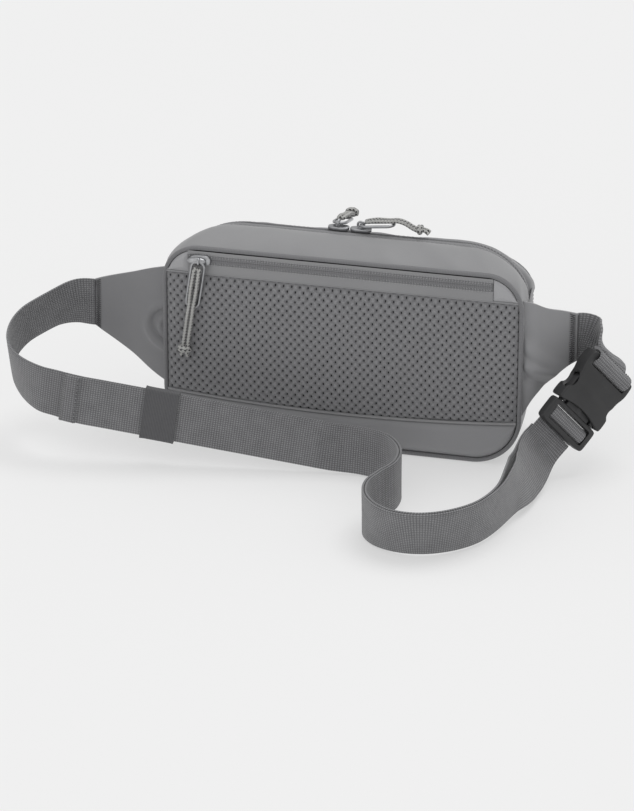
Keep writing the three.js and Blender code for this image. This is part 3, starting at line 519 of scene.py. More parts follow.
def round_edges(piece, width, segments=2, angle=35, unit=MM):
    bevel = piece.modifiers.new("edges", 'BEVEL')
    bevel.width, bevel.segments, bevel.limit_method = width * unit, segments, 'ANGLE'
    bevel.angle_limit = math.radians(angle)
    apply_all(piece)
    return piece


def ball(segments, rings, size=(1, 1, 1), spot=(0, 0, 0)):
    deselect()
    bpy.ops.mesh.primitive_uv_sphere_add(segments=segments, ring_count=rings, radius=1, location=spot)
    bpy.context.object.scale = size
    return settle(bpy.context.object)


def spread(count, place):
    """Places at count even steps from 0 to 1."""
    return [place(i / count) for i in range(count + 1)]


def cut(piece, *tools, operation='DIFFERENCE'):
    for tool in tools:
        boolean = piece.modifiers.new("cut", 'BOOLEAN')
        boolean.object = tool
        boolean.operation = operation
        boolean.solver = 'EXACT'
        apply_all(piece)
        bpy.data.objects.remove(tool)
    return piece


def from_cad(node, name):
    """A merged copy of a CAD node, to be finished with rounded edges."""
    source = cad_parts[node]
    piece = bpy.data.objects.new(name, source.data.copy())
    bpy.context.scene.collection.objects.link(piece)
    edit(piece, merge, lambda: bpy.ops.mesh.dissolve_limited(angle_limit=math.radians(1)), face_out)
    return piece


def stitches(name, points, facing, length=2.2, gap=0.7, thread=0.32, material=THREAD, body="pack", slope=0.0):
    """A row of stitches along points in metres, each a small low bar on cloth that faces one way, or
    the way given for each point."""
    places = []
    run = 0.0
    for i in range(1, len(points)):
        span = points[i] - points[i - 1]
        while run <= span.length:
            along = span.normalized()
            up = (facing[i] if isinstance(facing, list) else facing).normalized()
            across = up.cross(along).normalized()
            turned = (along * math.cos(slope) + across * math.sin(slope)).normalized()
            turn = Matrix((turned, up.cross(turned), up)).transposed().to_4x4()
            size = Matrix.Diagonal((length / 2 * MM, thread * MM, thread * MM, 1))
            here = points[i - 1] + span * (run / max(span.length, 1e-9))
            places.append(Matrix.Translation(here) @ turn @ size)
            run += (length + gap) * MM
        run -= span.length
    return dress(gather(name, ball(6, 4), places), material, body=body)


# ------------------------------------------------------------------ case outline
# Lengths of the outline's runs at the rear seam; further forward they are stretched to fit.
STRAIGHT = CASE_HEIGHT - TOP_RADIUS - MAIN_ZIP_END
TOP_ARC, BOTTOM_ARC = math.pi / 2 * TOP_RADIUS, math.pi / 2 * BOTTOM_RADIUS
UPPER_RUN = 2 * STRAIGHT + 2 * TOP_ARC + CASE_WIDTH - 2 * TOP_RADIUS
LOWER_RUN = 2 * (MAIN_ZIP_END - BOTTOM_RADIUS) + 2 * BOTTOM_ARC + CASE_WIDTH - 2 * BOTTOM_RADIUS
PERIMETER = UPPER_RUN + LOWER_RUN


def depth_share(y):
    return min(max(y / CASE_DEPTH, 0), 1)


def half_width(y):
    return SIDE - FRONT_TAPER * depth_share(y)


def top_height(y):
    return CASE_HEIGHT + CROWN * math.sin(math.pi * depth_share(y)) - FRONT_DROP * depth_share(y) ** 2


def rim(run, y, out=0.0):
    """A place on the case wall: run mm along the outline from the main zip's right end, y from the
    rear seam, and out mm outside the outline."""
    run %= PERIMETER
    half, top = half_width(y), top_height(y)
    wide = TOP_RADIUS + CORNER_SOFTENING * min(max(y / ZIP_SETBACK, 0), 1)
    tall = min(wide, top - MAIN_ZIP_END - 1)
    low = BOTTOM_RADIUS
    # each leg: its share of the run, start or centre, and its step or (across, up, start angle)
    legs = [(STRAIGHT, (half, MAIN_ZIP_END), (0, top - tall - MAIN_ZIP_END)),
            (TOP_ARC, (half - wide, top - tall), (wide, tall, 0)),
            (CASE_WIDTH - 2 * TOP_RADIUS, (half - wide, top), (2 * (wide - half), 0)),
            (TOP_ARC, (wide - half, top - tall), (wide, tall, 90)),
            (STRAIGHT, (-half, top - tall), (0, MAIN_ZIP_END - top + tall)),
            (MAIN_ZIP_END - low, (-half, MAIN_ZIP_END), (0, low - MAIN_ZIP_END)),
            (BOTTOM_ARC, (low - half, low), (low, low, 180)),
            (CASE_WIDTH - 2 * low, (low - half, 0), (2 * (half - low), 0)),
            (BOTTOM_ARC, (half - low, low), (low, low, 270)),
            (MAIN_ZIP_END - low, (half, low), (0, MAIN_ZIP_END - low))]
    for length, (x, z), shape in legs:
        if run <= length:
            break
        run -= length
    share = min(run / length, 1)
    if len(shape) == 2:
        size = math.hypot(*shape)
        nx, nz = shape[1] / size, -shape[0] / size
        x, z = x + shape[0] * share, z + shape[1] * share
    else:
        angle = math.radians(shape[2] + 90 * share)
        x, z = x + shape[0] * math.cos(angle), z + shape[1] * math.sin(angle)
        nx, nz = math.cos(angle) / shape[0], math.sin(angle) / shape[1]
        nx, nz = nx / math.hypot(nx, nz), nz / math.hypot(nx, nz)
    return at(x + out * nx, y, z + out * nz)


def rim_normal(run, y):
    here = rim(run, y)
    along = rim(run + 0.5, y) - rim(run - 0.5, y)
    back = rim(run, y + 0.5) - rim(run, y - 0.5)
    normal = along.cross(back).normalized()
    outward = rim(run, y, 1) - here
    return normal if normal.dot(outward) > 0 else -normal


def top_cloth(name, node, y_low, y_high, seed, cloth):
    """One side of the top, from the zip's right end over the pack to its left end."""
    def place(u, v):
        run, y = u * UPPER_RUN, mix(y_low, y_high, v)
        pinch = 1 - (2 * v - 1) ** 4
        corner_share = ease(78, 112, abs(run - UPPER_RUN / 2) * 0.80)
        puff = pinch * (1 + 1.6 * ripple_noise(run, y, seed, 34) + 0.7 * ripple_noise(run, y * 0.6, seed + 5, 13))
        crease = 1.5 * math.sin(run / 3.4 + 0.06 * y + 1.5 * ripple_noise(run, y, seed, 20)) \
            + 1.1 * ripple_noise(run * 2.2, y * 0.5, seed + 9, 9)
        return rim(run, y, -0.8 + puff + corner_share * pinch * crease)
    piece = lay(name, 170, 16, place, (UPPER_RUN * MM, (y_high - y_low) * MM), 1.2)
    dress(piece, cloth, node)


def zip_edge(name, node, y_low, y_high):
    def place(u, v):
        run, y = 0.4 + u * (UPPER_RUN - 0.8), mix(y_low, y_high, v)
        return rim(run, y, -0.55 + 0.35 * math.sin(math.pi * v))
    piece = lay(name, 150, 8, place, (UPPER_RUN * MM, (y_high - y_low) * MM), 1.0)
    dress(piece, ZIP_TAPE, node, slot="zip_tape")


def chain_height(run, v):
    """Two lobes of a closed coil under the knit, with a line between them, from 0 to 1."""
    lobe = abs(math.sin(2 * math.pi * v)) ** 0.5
    slant = 1.0 if v > 0.5 else -1.0
    return lobe * (0.72 + 0.28 * math.sin(2 * math.pi * (run + slant * abs(v - 0.5) * 2.6) / 1.4))


def make_case():
    rear_tape, front_tape = ZIP_SETBACK - TAPE_REACH, ZIP_SETBACK + TAPE_REACH
    top_cloth("rear_top_cloth", "rear_top_gusset", 0.2, rear_tape - 0.3, 3.0, SHELL)
    # The front top side takes the darker copy of the shell cloth: painted shade.
    top_cloth("front_top_cloth", "front_top_gusset", front_tape + 0.3, CASE_DEPTH - 0.2, 17.0, FAR_TOP_CLOTH_PAINTED_SHADE)
    zip_edge("main_zip_edge_rear", "main_zip_tape_rear", rear_tape, ZIP_SETBACK - 2.0)
    zip_edge("main_zip_edge_front", "main_zip_tape_front", ZIP_SETBACK + 2.0, front_tape)

    def chain(u, v):
        run = 0.5 + u * (UPPER_RUN - 1)
        return rim(run, ZIP_SETBACK + MAIN_COIL * (v - 0.5), -0.3 + 0.75 * chain_height(run, v))
    piece = lay("main_zip_chain", 800, 12, chain, (UPPER_RUN * MM, MAIN_COIL * MM), 0.5)
    dress(piece, COIL, "main_zip_coil", slot="zip_coil")

    def lower(u, v):
        run, y = UPPER_RUN + 0.15 + u * (LOWER_RUN - 0.3), 0.2 + v * (CASE_DEPTH - 0.4)
        pinch = 1 - (2 * v - 1) ** 4
        raised = ease(2, 26, rim(run, y, -0.9).z / MM)
        soft = pinch * raised * (1.3 + 1.5 * ripple_noise(run, y, 5.0, 34))
        return rim(run, y, -0.9 + 0.2 * pinch * (1 - raised) + soft)
    dress(lay("lower_side_cloth", 150, 18, lower, (LOWER_RUN * MM, CASE_DEPTH * MM), 1.4), SHELL, "lower_gusset")

    for name, y in (("rear_piping", -1.0), ("front_piping", CASE_DEPTH + 1.0)):
        points = [rim(PERIMETER * i / 260, y, -PIPING_RADIUS) for i in range(260)]
        dress(sweep(name + "_cord", points, PIPING_RADIUS * MM, 10, loop=True), PIPING, name, slot="piping")

    for side, name in ((-1, "left"), (1, "right")):
        tab = from_cad(f"main_zip_end_tab_{name}", f"main_zip_end_cloth_{name}")
        dress(round_edges(tab, 0.5), SHELL, f"main_zip_end_tab_{name}")
        corners = [at(side * (half_width(ZIP_SETBACK + across) + 1.95), ZIP_SETBACK + across, MAIN_ZIP_END + up)
                   for across, up in ((-10.8, -5.8), (10.8, -5.8), (10.8, 5.8), (-10.8, 5.8), (-10.8, -5.8))]
        stitches(f"main_zip_end_stitching_{name}", corners, Vector((side, 0, 0)), 1.8, 0.7, 0.22)

    for y, name in ((rear_tape - 1.4, "rear"), (front_tape + 1.4, "front")):
        points = spread(150, lambda t: rim(4 + (UPPER_RUN - 8) * t, y, 0.15))
        facing = spread(150, lambda t: rim_normal(4 + (UPPER_RUN - 8) * t, y))
        stitches(f"main_zip_topstitching_{name}", points, facing, 2.2, 0.8, 0.22)

    # Front panel: one crowned panel of the same cloth.
    def front(u, v):
        edge = rim(u * PERIMETER, CASE_DEPTH, -PANEL_INSET)
        spine_x = min(max(edge.x, -0.064), 0.064)
        swell = 1 - (1 - v) ** 2.4
        x, z = mix(edge.x, spine_x, v), mix(edge.z, 0.060, v)
        y = CASE_DEPTH + 0.9 + 5.2 * swell + 0.8 * swell * ripple_noise(x / MM, z / MM, 4, 40)
        return Vector((x, (y - CASE_DEPTH / 2) * MM, z))
    panel = lay("front_panel_cloth", 160, 24, front, (PERIMETER * MM, 0.06), closed=True)
    edit(panel, select_rim, lambda: extrude(-0.0008), fill_holes, select_whole, merge, face_out)
    dress(panel, SHELL, "front_panel")


# ------------------------------------------------------------------ back panel
HALF = SIDE - PANEL_INSET


def mesh_low(x):
    """Bottom edge of the mesh, which hangs in a shallow arc."""
    return MESH_BOTTOM - MESH_SAG * (1 - min(abs(x) / HALF, 1) ** 2)


def eyelets(x, z):
    """How open the knit is at a place, from 0 to 1."""
    nearest = min(math.hypot(((x / EYELET_ACROSS + offset) % 1 - 0.5) * EYELET_ACROSS / EYELET_SQUEEZE,
                             ((z / EYELET_UP + offset) % 1 - 0.5) * EYELET_UP) for offset in (0.0, 0.5))
    return 1 - ease(0.6, 1.6, nearest)


def close_back(piece, y):
    """Turn the rim of a panel back to a plane and close it behind."""
    edit(piece, select_rim, lambda: extrude(0))
    for vertex in piece.data.vertices:
        if vertex.select:
            vertex.co.y = (y - CASE_DEPTH / 2) * MM
    close_holes(piece)


def pad_depth(x, z, low, high):
    """How far the mesh pad stands out, falling to its seams over 16 mm."""
    edge = min(HALF - abs(x), z - low, high - z)
    return 4.0 * (1 - (1 - min(max(edge / 16, 0), 1)) ** 2.6)


def make_back():
    def mesh_face(u, v):
        x = mix(-HALF, HALF, u)
        low = mesh_low(x)
        z = mix(low, MESH_TOP, v)
        y = -1.3 - pad_depth(x, z, low, MESH_TOP) - 0.6 * ripple_noise(x, z, 2, 55)
        scales = math.cos(2 * math.pi * x / EYELET_ACROSS) * math.cos(2 * math.pi * z / EYELET_UP)
        return at(x, y + (0.9 * eyelets(x, z) + 0.22 * scales) * min(1, (HALF - abs(x)) / 2), z)
    mesh_panel = lay("mesh_back_pad", 340, 124, mesh_face)
    uv = mesh_panel.data.uv_layers.active.data
    for loop in mesh_panel.data.loops:       # one unit of the map is one step of the holes
        place = mesh_panel.data.vertices[loop.vertex_index].co
        uv[loop.index].uv = (place.x / MM / EYELET_ACROSS, place.z / MM / EYELET_UP)
    close_back(mesh_panel, -0.2)
    dress(mesh_panel, MESH_KNIT, "back_mesh_panel", "back_foam_pad", slot="spacer_mesh", sharp=75)

    def band_face(u, v):
        x = mix(-1, 1, u) * (HALF - 0.3)
        high = mesh_low(x) - 0.6
        # the band's bottom edge follows the case's lower corners
        past = max(abs(x) - (SIDE - BOTTOM_RADIUS), 0)
        low = BOTTOM_RADIUS - math.sqrt(max((BOTTOM_RADIUS - PANEL_INSET) ** 2 - past ** 2, 0))
        z = mix(min(low, high - 0.6), high, v)
        edge = min(z - low, high - z, HALF - abs(x) + 2)
        swell = 1 - (1 - min(max(edge / 9, 0), 1)) ** 2.4
        return at(x, -0.8 - 3.4 * swell - 0.7 * swell * ripple_noise(x, z, 8, 30), z)
    band = lay("bottom_back_band", 150, 22, band_face, (2 * HALF * MM, 0.026))
    close_back(band, -0.2)
    dress(band, BAND_CLOTH, "bottom_band")

    # Bound lower and upper edges of the mesh.
    for name, count, y, height, radius in (("lower", 120, -2.2, lambda x: mesh_low(x) - 0.2, 0.95),
                                           ("upper", 60, -1.9, lambda x: MESH_TOP + 0.1, 0.7)):
        points = [at(x, y, height(x)) for x in spread(count, lambda t: mix(-HALF, HALF, t))]
        dress(sweep(f"mesh_{name}_binding", points, radius * MM, 8, side_hint=(0, 1, 0)), SHELL)

    # Zip band: two tapes with the coil's stitch rows, and plain cloth ends.
    band_low = MESH_TOP + 0.7
    zip_length = BACK_ZIP_RIGHT - BACK_ZIP_LEFT
    for name, low, high in (("lower", band_low, BACK_ZIP_HEIGHT - 3.0),
                            ("upper", BACK_ZIP_HEIGHT + 3.0, CASE_HEIGHT - PANEL_INSET)):
        def tape(u, v, low=low, high=high):
            x, z = mix(BACK_ZIP_LEFT, BACK_ZIP_RIGHT, u), mix(low, high, v)
            return at(x, -2.1 - 0.25 * math.sin(math.pi * v) - 0.15 * ripple_noise(x, z, 1, 20), z)
        piece = lay(f"back_zip_edge_{name}", 110, 6, tape, (zip_length * MM, (high - low) * MM), 1.0)
        dress(piece, SHELL, f"back_zip_tape_{name}", slot="zip_tape")

    def chain(u, v):
        x = mix(BACK_ZIP_LEFT + 0.3, BACK_ZIP_RIGHT - 0.3, u)
        split = 0.5 - 0.5 * math.cos(2 * math.pi * v) if 0 < v < 1 else 0
        groove = 1 - math.exp(-((v - 0.5) / 0.06) ** 2)
        ribs = 0.16 * math.sin(2 * math.pi * (x + (1 if v > 0.5 else -1) * abs(v - 0.5) * 5) / 1.4)
        y = -1.9 - (0.55 + ribs) * groove * (0.35 + 0.65 * split ** 0.4)
        return at(x, y, BACK_ZIP_HEIGHT + BACK_COIL * (v - 0.5))
    piece = lay("back_zip_chain", 560, 20, chain, (zip_length * MM, BACK_COIL * MM), 0.5)
    dress(piece, ZIP_TAPE, "back_zip_coil", slot="zip_coil", sharp=60)
    # Each half of the coil is sewn down with a double row that reads as small chevrons.
    for number, (offset, slope) in enumerate(((-3.3, 0.8), (-2.1, -0.8), (2.1, 0.8), (3.3, -0.8))):
        points = spread(60, lambda t: at(mix(BACK_ZIP_LEFT + 1, BACK_ZIP_RIGHT - 1, t), -2.78,
                                         BACK_ZIP_HEIGHT + offset))
        stitches(f"back_zip_stitching_{number}", points, Vector((0, -1, 0)), 1.4, 0.45, 0.34, slope=slope)

    for side, name, end in ((-1, "left", BACK_ZIP_LEFT), (1, "right", BACK_ZIP_RIGHT)):
        def cap(u, v, side=side, end=end):
            x = mix(abs(end) + 0.2, HALF, u)
            past = max(0, x - (SIDE - TOP_RADIUS))
            high = CASE_HEIGHT - TOP_RADIUS + math.sqrt(max((TOP_RADIUS - PANEL_INSET) ** 2 - past ** 2, 0))
            z = mix(band_low, max(high, band_low + 0.8), v)
            swell = max(min(1, 4 * min(u + 0.06, 1 - u, v, 1 - v)), 0)
            return at(side * x, -1.6 - 1.2 * swell - 0.3 * ripple_noise(x, z, 6, 12), z)
        piece = lay(f"back_zip_end_cloth_{name}", 20, 16, cap, (0.02, 0.014))
        close_back(piece, -0.3)
        # The caps take the lighter copy of the shell cloth: painted light.
        dress(piece, ZIP_END_CLOTH_PAINTED_LIGHT, f"back_zip_end_cap_{name}")


def make_insides():
    for node, material in (("lining", LINING), ("back_pocket_bag", LINING), ("back_panel_board", BOARD)):
        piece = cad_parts[node]
        piece.data.materials.clear()
        piece.data.materials.append(material)


# ------------------------------------------------------------------ wings
def make_wing(name, node, side, stations, cloth, folds):
    """A flat padded wing between its curved upper and lower edges."""
    def between(u, column):
        """Smooth curve through one column of the stations."""
        i = min(int(u * (len(stations) - 1)), len(stations) - 2)
        t = u * (len(stations) - 1) - i
        p = [stations[max(min(i + k, len(stations) - 1), 0)][column] for k in (-1, 0, 1, 2)]
        return 0.5 * (2 * p[1] + (p[2] - p[0]) * t + (2 * p[0] - 5 * p[1] + 4 * p[2] - p[3]) * t * t
                      + (3 * p[1] - p[0] - 3 * p[2] + p[3]) * t ** 3)

    def place(u, v):
        x, y, low, high = (between(u, c) for c in range(4))
        z = mix(low, high, v)
        return at(side * x, y - folds(u, z), z)
    length = abs(stations[-1][0] - stations[0][0])
    piece = lay(name, 80, 80, place, (length * 1.06 * MM, WING_ROOT * MM), 2.0)
    dress(round_edges(piece, 0.6, 2, 60), cloth, node)
    return place


def make_wings():
    root = SIDE + 0.9
    left_end = (SIDE + 51.8, 18.8, 76.2 - WEBBING / 2, 76.2 + WEBBING / 2)
    right_end = (SIDE + 29, 28, 81 - WEBBING / 2, 81 + WEBBING / 2)

    def stations(end, shares):
        """x, y, lower and upper edge: the edges close in on the end's by two shares."""
        return [(root + x, y, mix(WING_BOTTOM, end[2], a), mix(WING_TOP, end[3], b)) for x, y, a, b in shares] + [end]

    def left_folds(u, z):
        near = 1.5 * (1 - ease(0.1, 0.6, u)) * ease(40, 60, z) * (1 - ease(78, 92, z))
        # crescent creases round a point on the seam, a little below the middle
        d = math.hypot(u * 52, z - 71)
        crescent = sum(deep * math.exp(-((d - far) / wide) ** 2)
                       for deep, far, wide in ((1.5, 15, 2.6), (-1.1, 10.5, 2.2), (1.0, 6, 1.8)))
        return near * crescent + 1.6 * ripple_noise(u * 52, z, 3, 26) * min(1, 8 * (1 - u))

    def right_folds(u, z):
        fade = ease(0.0, 0.12, u) * (1 - ease(0.75, 1, u))
        valleys = sum(deep * math.exp(-((z - low + slant * u) / wide) ** 2)
                      for deep, low, slant, wide in ((1.8, 70, 16, 3.2), (-1.4, 62, 18, 3.0), (1.5, 84, 30, 5.0)))
        return fade * 1.5 * valleys + 1.8 * ripple_noise(u * 40, z, 13, 20) * (1 - u)

    wings = []
    # The left wing's cloth is darkened as painted shade and the right wing's is lightened as painted light.
    for name, side, end, shares, cloth, folds in (
            ("left", -1, left_end, ((-1.8, 3, 0, 0), (10.5, 7, 0.215, 0.2), (24.5, 12.8, 0.49, 0.5),
                                    (37.5, 16.8, 0.744, 0.76)), LEFT_WING_PAINTED_SHADE_CLOTH, left_folds),
            ("right", 1, right_end, ((-1.8, 3, 0, 0), (5.5, 5, 0.44, 0.13), (12.5, 12, 0.69, 0.47),
                                     (20.5, 20.5, 0.89, 0.73)), RIGHT_WING_PAINTED_LIGHT_CLOTH, right_folds)):
        wings.append(make_wing(f"{name}_wing_cloth", f"{name}_wing", side, stations(end, shares), cloth, folds))

    # A zig-zag bartack goes down each wing's outer end, and a single row beside it.
    for name, place, inner, outer in (("left", wings[0], 0.905, 0.965), ("right", wings[1], 0.84, 0.93)):
        def on_cloth(share, v, place=place):
            here = place(share, v)
            normal = (place(share + 0.01, v) - here).cross(place(share, v + 0.01) - here).normalized()
            return here + (normal if normal.y < 0 else -normal) * 1.15 * MM
        points = [on_cloth((inner, outer)[i % 2], mix(0.03, 0.97, i / 46)) for i in range(47)]
        dress(sweep(f"{name}_wing_bartack", points, 0.42 * MM, 6), DARK_THREAD)
        points = spread(40, lambda t: on_cloth(0.988, mix(0.02, 0.98, t)))
        dress(sweep(f"{name}_wing_end_thread", points, 0.34 * MM, 6), DARK_THREAD)


# ------------------------------------------------------------------ belt
class Route:
    """A smooth curve through points, measured along its length."""

    def __init__(self, points, samples=60):
        self.places = []
        for i in range(len(points) - 1):
            p1, p2 = points[i], points[i + 1]
            p0 = points[i - 1] if i else p1 * 2 - p2
            p3 = points[i + 2] if i + 2 < len(points) else p2 * 2 - p1
            d0, d1, d2 = ((b - a).length ** 0.5 for a, b in ((p0, p1), (p1, p2), (p2, p3)))
            t1 = ((p1 - p0) / d0 - (p2 - p0) / (d0 + d1) + (p2 - p1) / d1) * d1
            t2 = ((p2 - p1) / d1 - (p3 - p1) / (d1 + d2) + (p3 - p2) / d2) * d1
            for k in range(samples):
                t = k / samples
                self.places.append(p1 + t1 * t + (p2 * 3 - p1 * 3 - t1 * 2 - t2) * t ** 2
                                   + (p1 * 2 - p2 * 2 + t1 + t2) * t ** 3)
        self.places.append(points[-1])
        self.runs = [0.0]
        for a, b in zip(self.places, self.places[1:]):
            self.runs.append(self.runs[-1] + (b - a).length)
        self.length = self.runs[-1]

    def place(self, run):
        run = min(max(run, 0), self.length)
        low, high = 0, len(self.runs) - 1
        while high - low > 1:
            middle = (low + high) // 2
            low, high = (middle, high) if self.runs[middle] <= run else (low, middle)
        span = max(self.runs[high] - self.runs[low], 1e-12)
        return self.places[low].lerp(self.places[high], (run - self.runs[low]) / span)

    def along(self, run):
        return (self.place(run + 0.0004) - self.place(run - 0.0004)).normalized()


BUCKLE_AXIS = Vector((0.49, 0.56, 0.67)).normalized()
BUCKLE_WIDTH_WAY = Vector((0.52, 0.43, -0.74))
BUCKLE_WIDTH_WAY = (BUCKLE_WIDTH_WAY - BUCKLE_AXIS * BUCKLE_WIDTH_WAY.dot(BUCKLE_AXIS)).normalized()
BUCKLE_OUT = BUCKLE_WIDTH_WAY.cross(BUCKLE_AXIS)
BUCKLE_ORIGIN = at(SIDE + 26, -12, 30.5)
BUCKLE_PLACE = Matrix((BUCKLE_AXIS, BUCKLE_OUT, BUCKLE_AXIS.cross(BUCKLE_OUT))).transposed().to_4x4()
BUCKLE_PLACE.translation = BUCKLE_ORIGIN


def in_buckle(x, y, z=0.0):
    """A place from the buckle's own lengths: along it, out of its face, and across it."""
    return BUCKLE_ORIGIN + (BUCKLE_AXIS * x + BUCKLE_OUT * y + BUCKLE_WIDTH_WAY * z) * MM


ON_EDGE = WEBBING / 2
STRAIGHT_START = at(-SIDE - 38.4, -60.5, ON_EDGE + 25)
STRAIGHT_END = at(SIDE - 114.5, -42, ON_EDGE + 2.5)
TAIL_DEPTH = 3.5 + 0.3 + WEB_THICK / 2
BELT_POINTS = [at(-SIDE - x, y, ON_EDGE + z) for x, y, z in (           # the curve from the left wing
    (49.8, 18.5, 60.2), (63, 17.6, 60), (74.5, 12.5, 57.4), (85, 4, 53), (92.5, -5, 49), (96.5, -15, 44),
    (96, -26, 39.5), (91, -37.5, 35.5), (81.5, -48, 32), (69, -56, 29.5), (54.5, -60, 27.3))]
BELT_POINTS += [STRAIGHT_START.lerp(STRAIGHT_END, t) for t in (0, 0.08, 0.25, 0.5, 0.75, 0.92, 1)]
BELT_POINTS += [at(SIDE + x, y, ON_EDGE + z) for x, y, z in (           # the front loop on the floor
    (-94, -40.5, 1.0), (-77, -46, 0.4), (-66, -62, 0.2), (-64, -81, 0.15), (-70, -98, 0.15), (-74, -113, 0.3),
    (-71.5, -128, 0.5), (-62.5, -141, 0.6), (-49, -149, 0.7), (-33, -150.5, 1.1), (-17.5, -144, 1.2),
    (-1.5, -128, 1.5), (8, -106.5, 2.9), (13.5, -77, 5.4), (14.3, -46, 1.8))]
BELT_POINTS += [in_buckle(-14, -TAIL_DEPTH) + Vector((0, 0, 1)) * MM, in_buckle(0.5, -TAIL_DEPTH)]
BELT = Route(BELT_POINTS)
TAIL_RUN, HEM = 0.1405, 0.010       # in metres: where the loose layer ends, and the length of its hem
MAIN_LENGTH = BELT.length * 0.991


def belt_frame(run):
    """Centre, width direction and inward direction of the belt."""
    u = run / BELT.length
    along = BELT.along(run)
    lean = ease(0.62, 0.72, u) * (1 - ease(0.82, 0.97, u))
    turn_in = ease(0.84, 0.985, u)
    left_lean = 0.42 * ease(0.005, 0.05, u) * (1 - ease(0.12, 0.2, u))
    up = (Vector((0, 0, 1)) + Vector((0.05, -0.32, 0)) * lean + Vector((0.1, -1, 0)) * left_lean).normalized()
    up = (up * (1 - turn_in) - BUCKLE_WIDTH_WAY * turn_in).normalized()
    up = (up - along * up.dot(along)).normalized()
    return BELT.place(run), up, up.cross(along)


def inner_shift(run):
    base = (WEB_THICK + LAYER_GAP) * MM * ease(TAIL_RUN - 0.018, TAIL_RUN - 0.004, run)
    rise = (run - BELT.length + 0.118) / 0.100
    return base + (0.0035 * math.sin(math.pi * rise) ** 2 if 0 < rise < 1 else 0)


def ribbon(name, start, end, steps, spot, *nodes, thick=WEB_THICK, body="pack"):
    """Flat webbing: spot(run) gives its centre, width direction and face direction."""
    def place(u, v):
        centre, up, side = spot(mix(start, end, u))
        return centre + up * (WEBBING * MM * (v - 0.5)) + side * (0.10 * MM * abs(2 * v - 1) ** 6)
    piece = round_edges(lay(name, steps, 10, place, (end - start, WEBBING * MM), thick), 0.3, 2, 60)
    return dress(piece, WEB, *nodes, body=body, slot="webbing", sharp=60)


def make_belt():
    def inner(run):
        centre, up, side = belt_frame(run)
        return centre + side * inner_shift(run), up, side

    main = ribbon("belt_main_layer", 0.0, MAIN_LENGTH, 520, inner, "belt_webbing")
    tail = ribbon("belt_loose_layer", TAIL_RUN, BELT.length, 430, belt_frame, "belt_tail")

    # Hem: the end of the webbing turned under and stitched.
    def hem_spot(run):
        centre, up, side = belt_frame(run)
        under = 0.97 * WEB_THICK * (1 if run < TAIL_RUN + HEM - 0.0012 else 0.62)
        return centre - side * (under * MM), up, side
    hem = ribbon("belt_hem", TAIL_RUN, TAIL_RUN + HEM, 16, hem_spot, thick=WEB_THICK * 0.9)
    centre, up, side = belt_frame(TAIL_RUN)
    fold = spread(4, lambda t: centre - side * 0.0007 + up * ((t - 0.5) * WEBBING * MM))
    dress(sweep("belt_hem_fold", fold, 1.35 * MM, 10, side_hint=side), WEB, slot="webbing")
    centre, up, side = belt_frame(TAIL_RUN + 0.0086)
    seam = spread(40, lambda t: centre - side * 0.00235 + up * (t - 0.5) * 0.030)
    stitches("belt_hem_stitching_0", seam, -side, 1.9, 0.7, 0.28, DARK_THREAD)

    # Elastic keeper round both layers.
    along = (STRAIGHT_END - STRAIGHT_START).normalized()
    keeper_up = (Vector((0, 0, 1)) - along * along.z).normalized()
    keeper_out = keeper_up.cross(along)
    middle = STRAIGHT_START.lerp(STRAIGHT_END, 0.32)
    low, high = -WEB_THICK / 2 - 1.0, WEB_THICK * 1.5 + LAYER_GAP + 1.0
    tall = WEBBING / 2 + 1.0

    def sleeve(u, v):
        # a circle pressed towards a box
        x, z = (math.copysign(abs(way) ** 0.16, way) for way in (math.cos(2 * math.pi * v), math.sin(2 * math.pi * v)))
        curl = 0.25 * abs(2 * u - 1) ** 8
        depth = mix(low, high, 0.5 + 0.5 * x) + curl * x
        return middle + (along * mix(-11, 11, u) + keeper_out * depth + keeper_up * (z * (tall + curl))) * MM
    keeper = lay("elastic_belt_keeper", 44, 96, sleeve, (0.022, 0.078), 0.9, closed=True)
    dress(keeper, ELASTIC, "elastic_keeper", body="keeper", slot="elastic", sharp=60)


# ------------------------------------------------------------------ buckle
def slab(name, outline, thick, round_mm, segments=3):
    """A flat plate from an outline in the buckle's plane (x along, z across), its edges rounded."""
    deselect()
    bpy.ops.mesh.primitive_circle_add(vertices=len(outline), radius=1, fill_type='NGON')
    piece = bpy.context.object
    piece.name = piece.data.name = name
    for vertex, (x, z) in zip(piece.data.vertices, outline):
        vertex.co = (x, -thick / 2, z)
    edit(piece, lambda: extrude(thick), select_whole, face_out)
    return round_edges(piece, round_mm, segments, 50, 1)


def brick(low, high, round_mm):
    """A box between two corners, in millimetres in the buckle's own frame."""
    deselect()
    low, high = Vector(low), Vector(high)
    bpy.ops.mesh.primitive_cube_add(size=1, location=(low + high) / 2, scale=high - low)
    piece = settle(bpy.context.object)
    return round_edges(piece, round_mm, 3, 50, 1) if round_mm else piece


def put_in_buckle(piece):
    """From millimetres in the buckle's own frame to its place on the pack."""
    piece.data.transform(BUCKLE_PLACE @ Matrix.Diagonal((MM, MM, MM, 1)))
    edit(piece, face_out)
    return piece


def smooth_outline(corners, steps=5):
    """A closed outline with its corners eased by a curve through the sides' middles."""
    points = []
    for i, corner in enumerate(corners):
        b = Vector(corner)
        start, end = (b.lerp(Vector(other), 0.42) for other in (corners[i - 1], corners[(i + 1) % len(corners)]))
        points += spread(steps, lambda t: start * (1 - t) ** 2 + b * (2 * t * (1 - t)) + end * t ** 2)
    return points


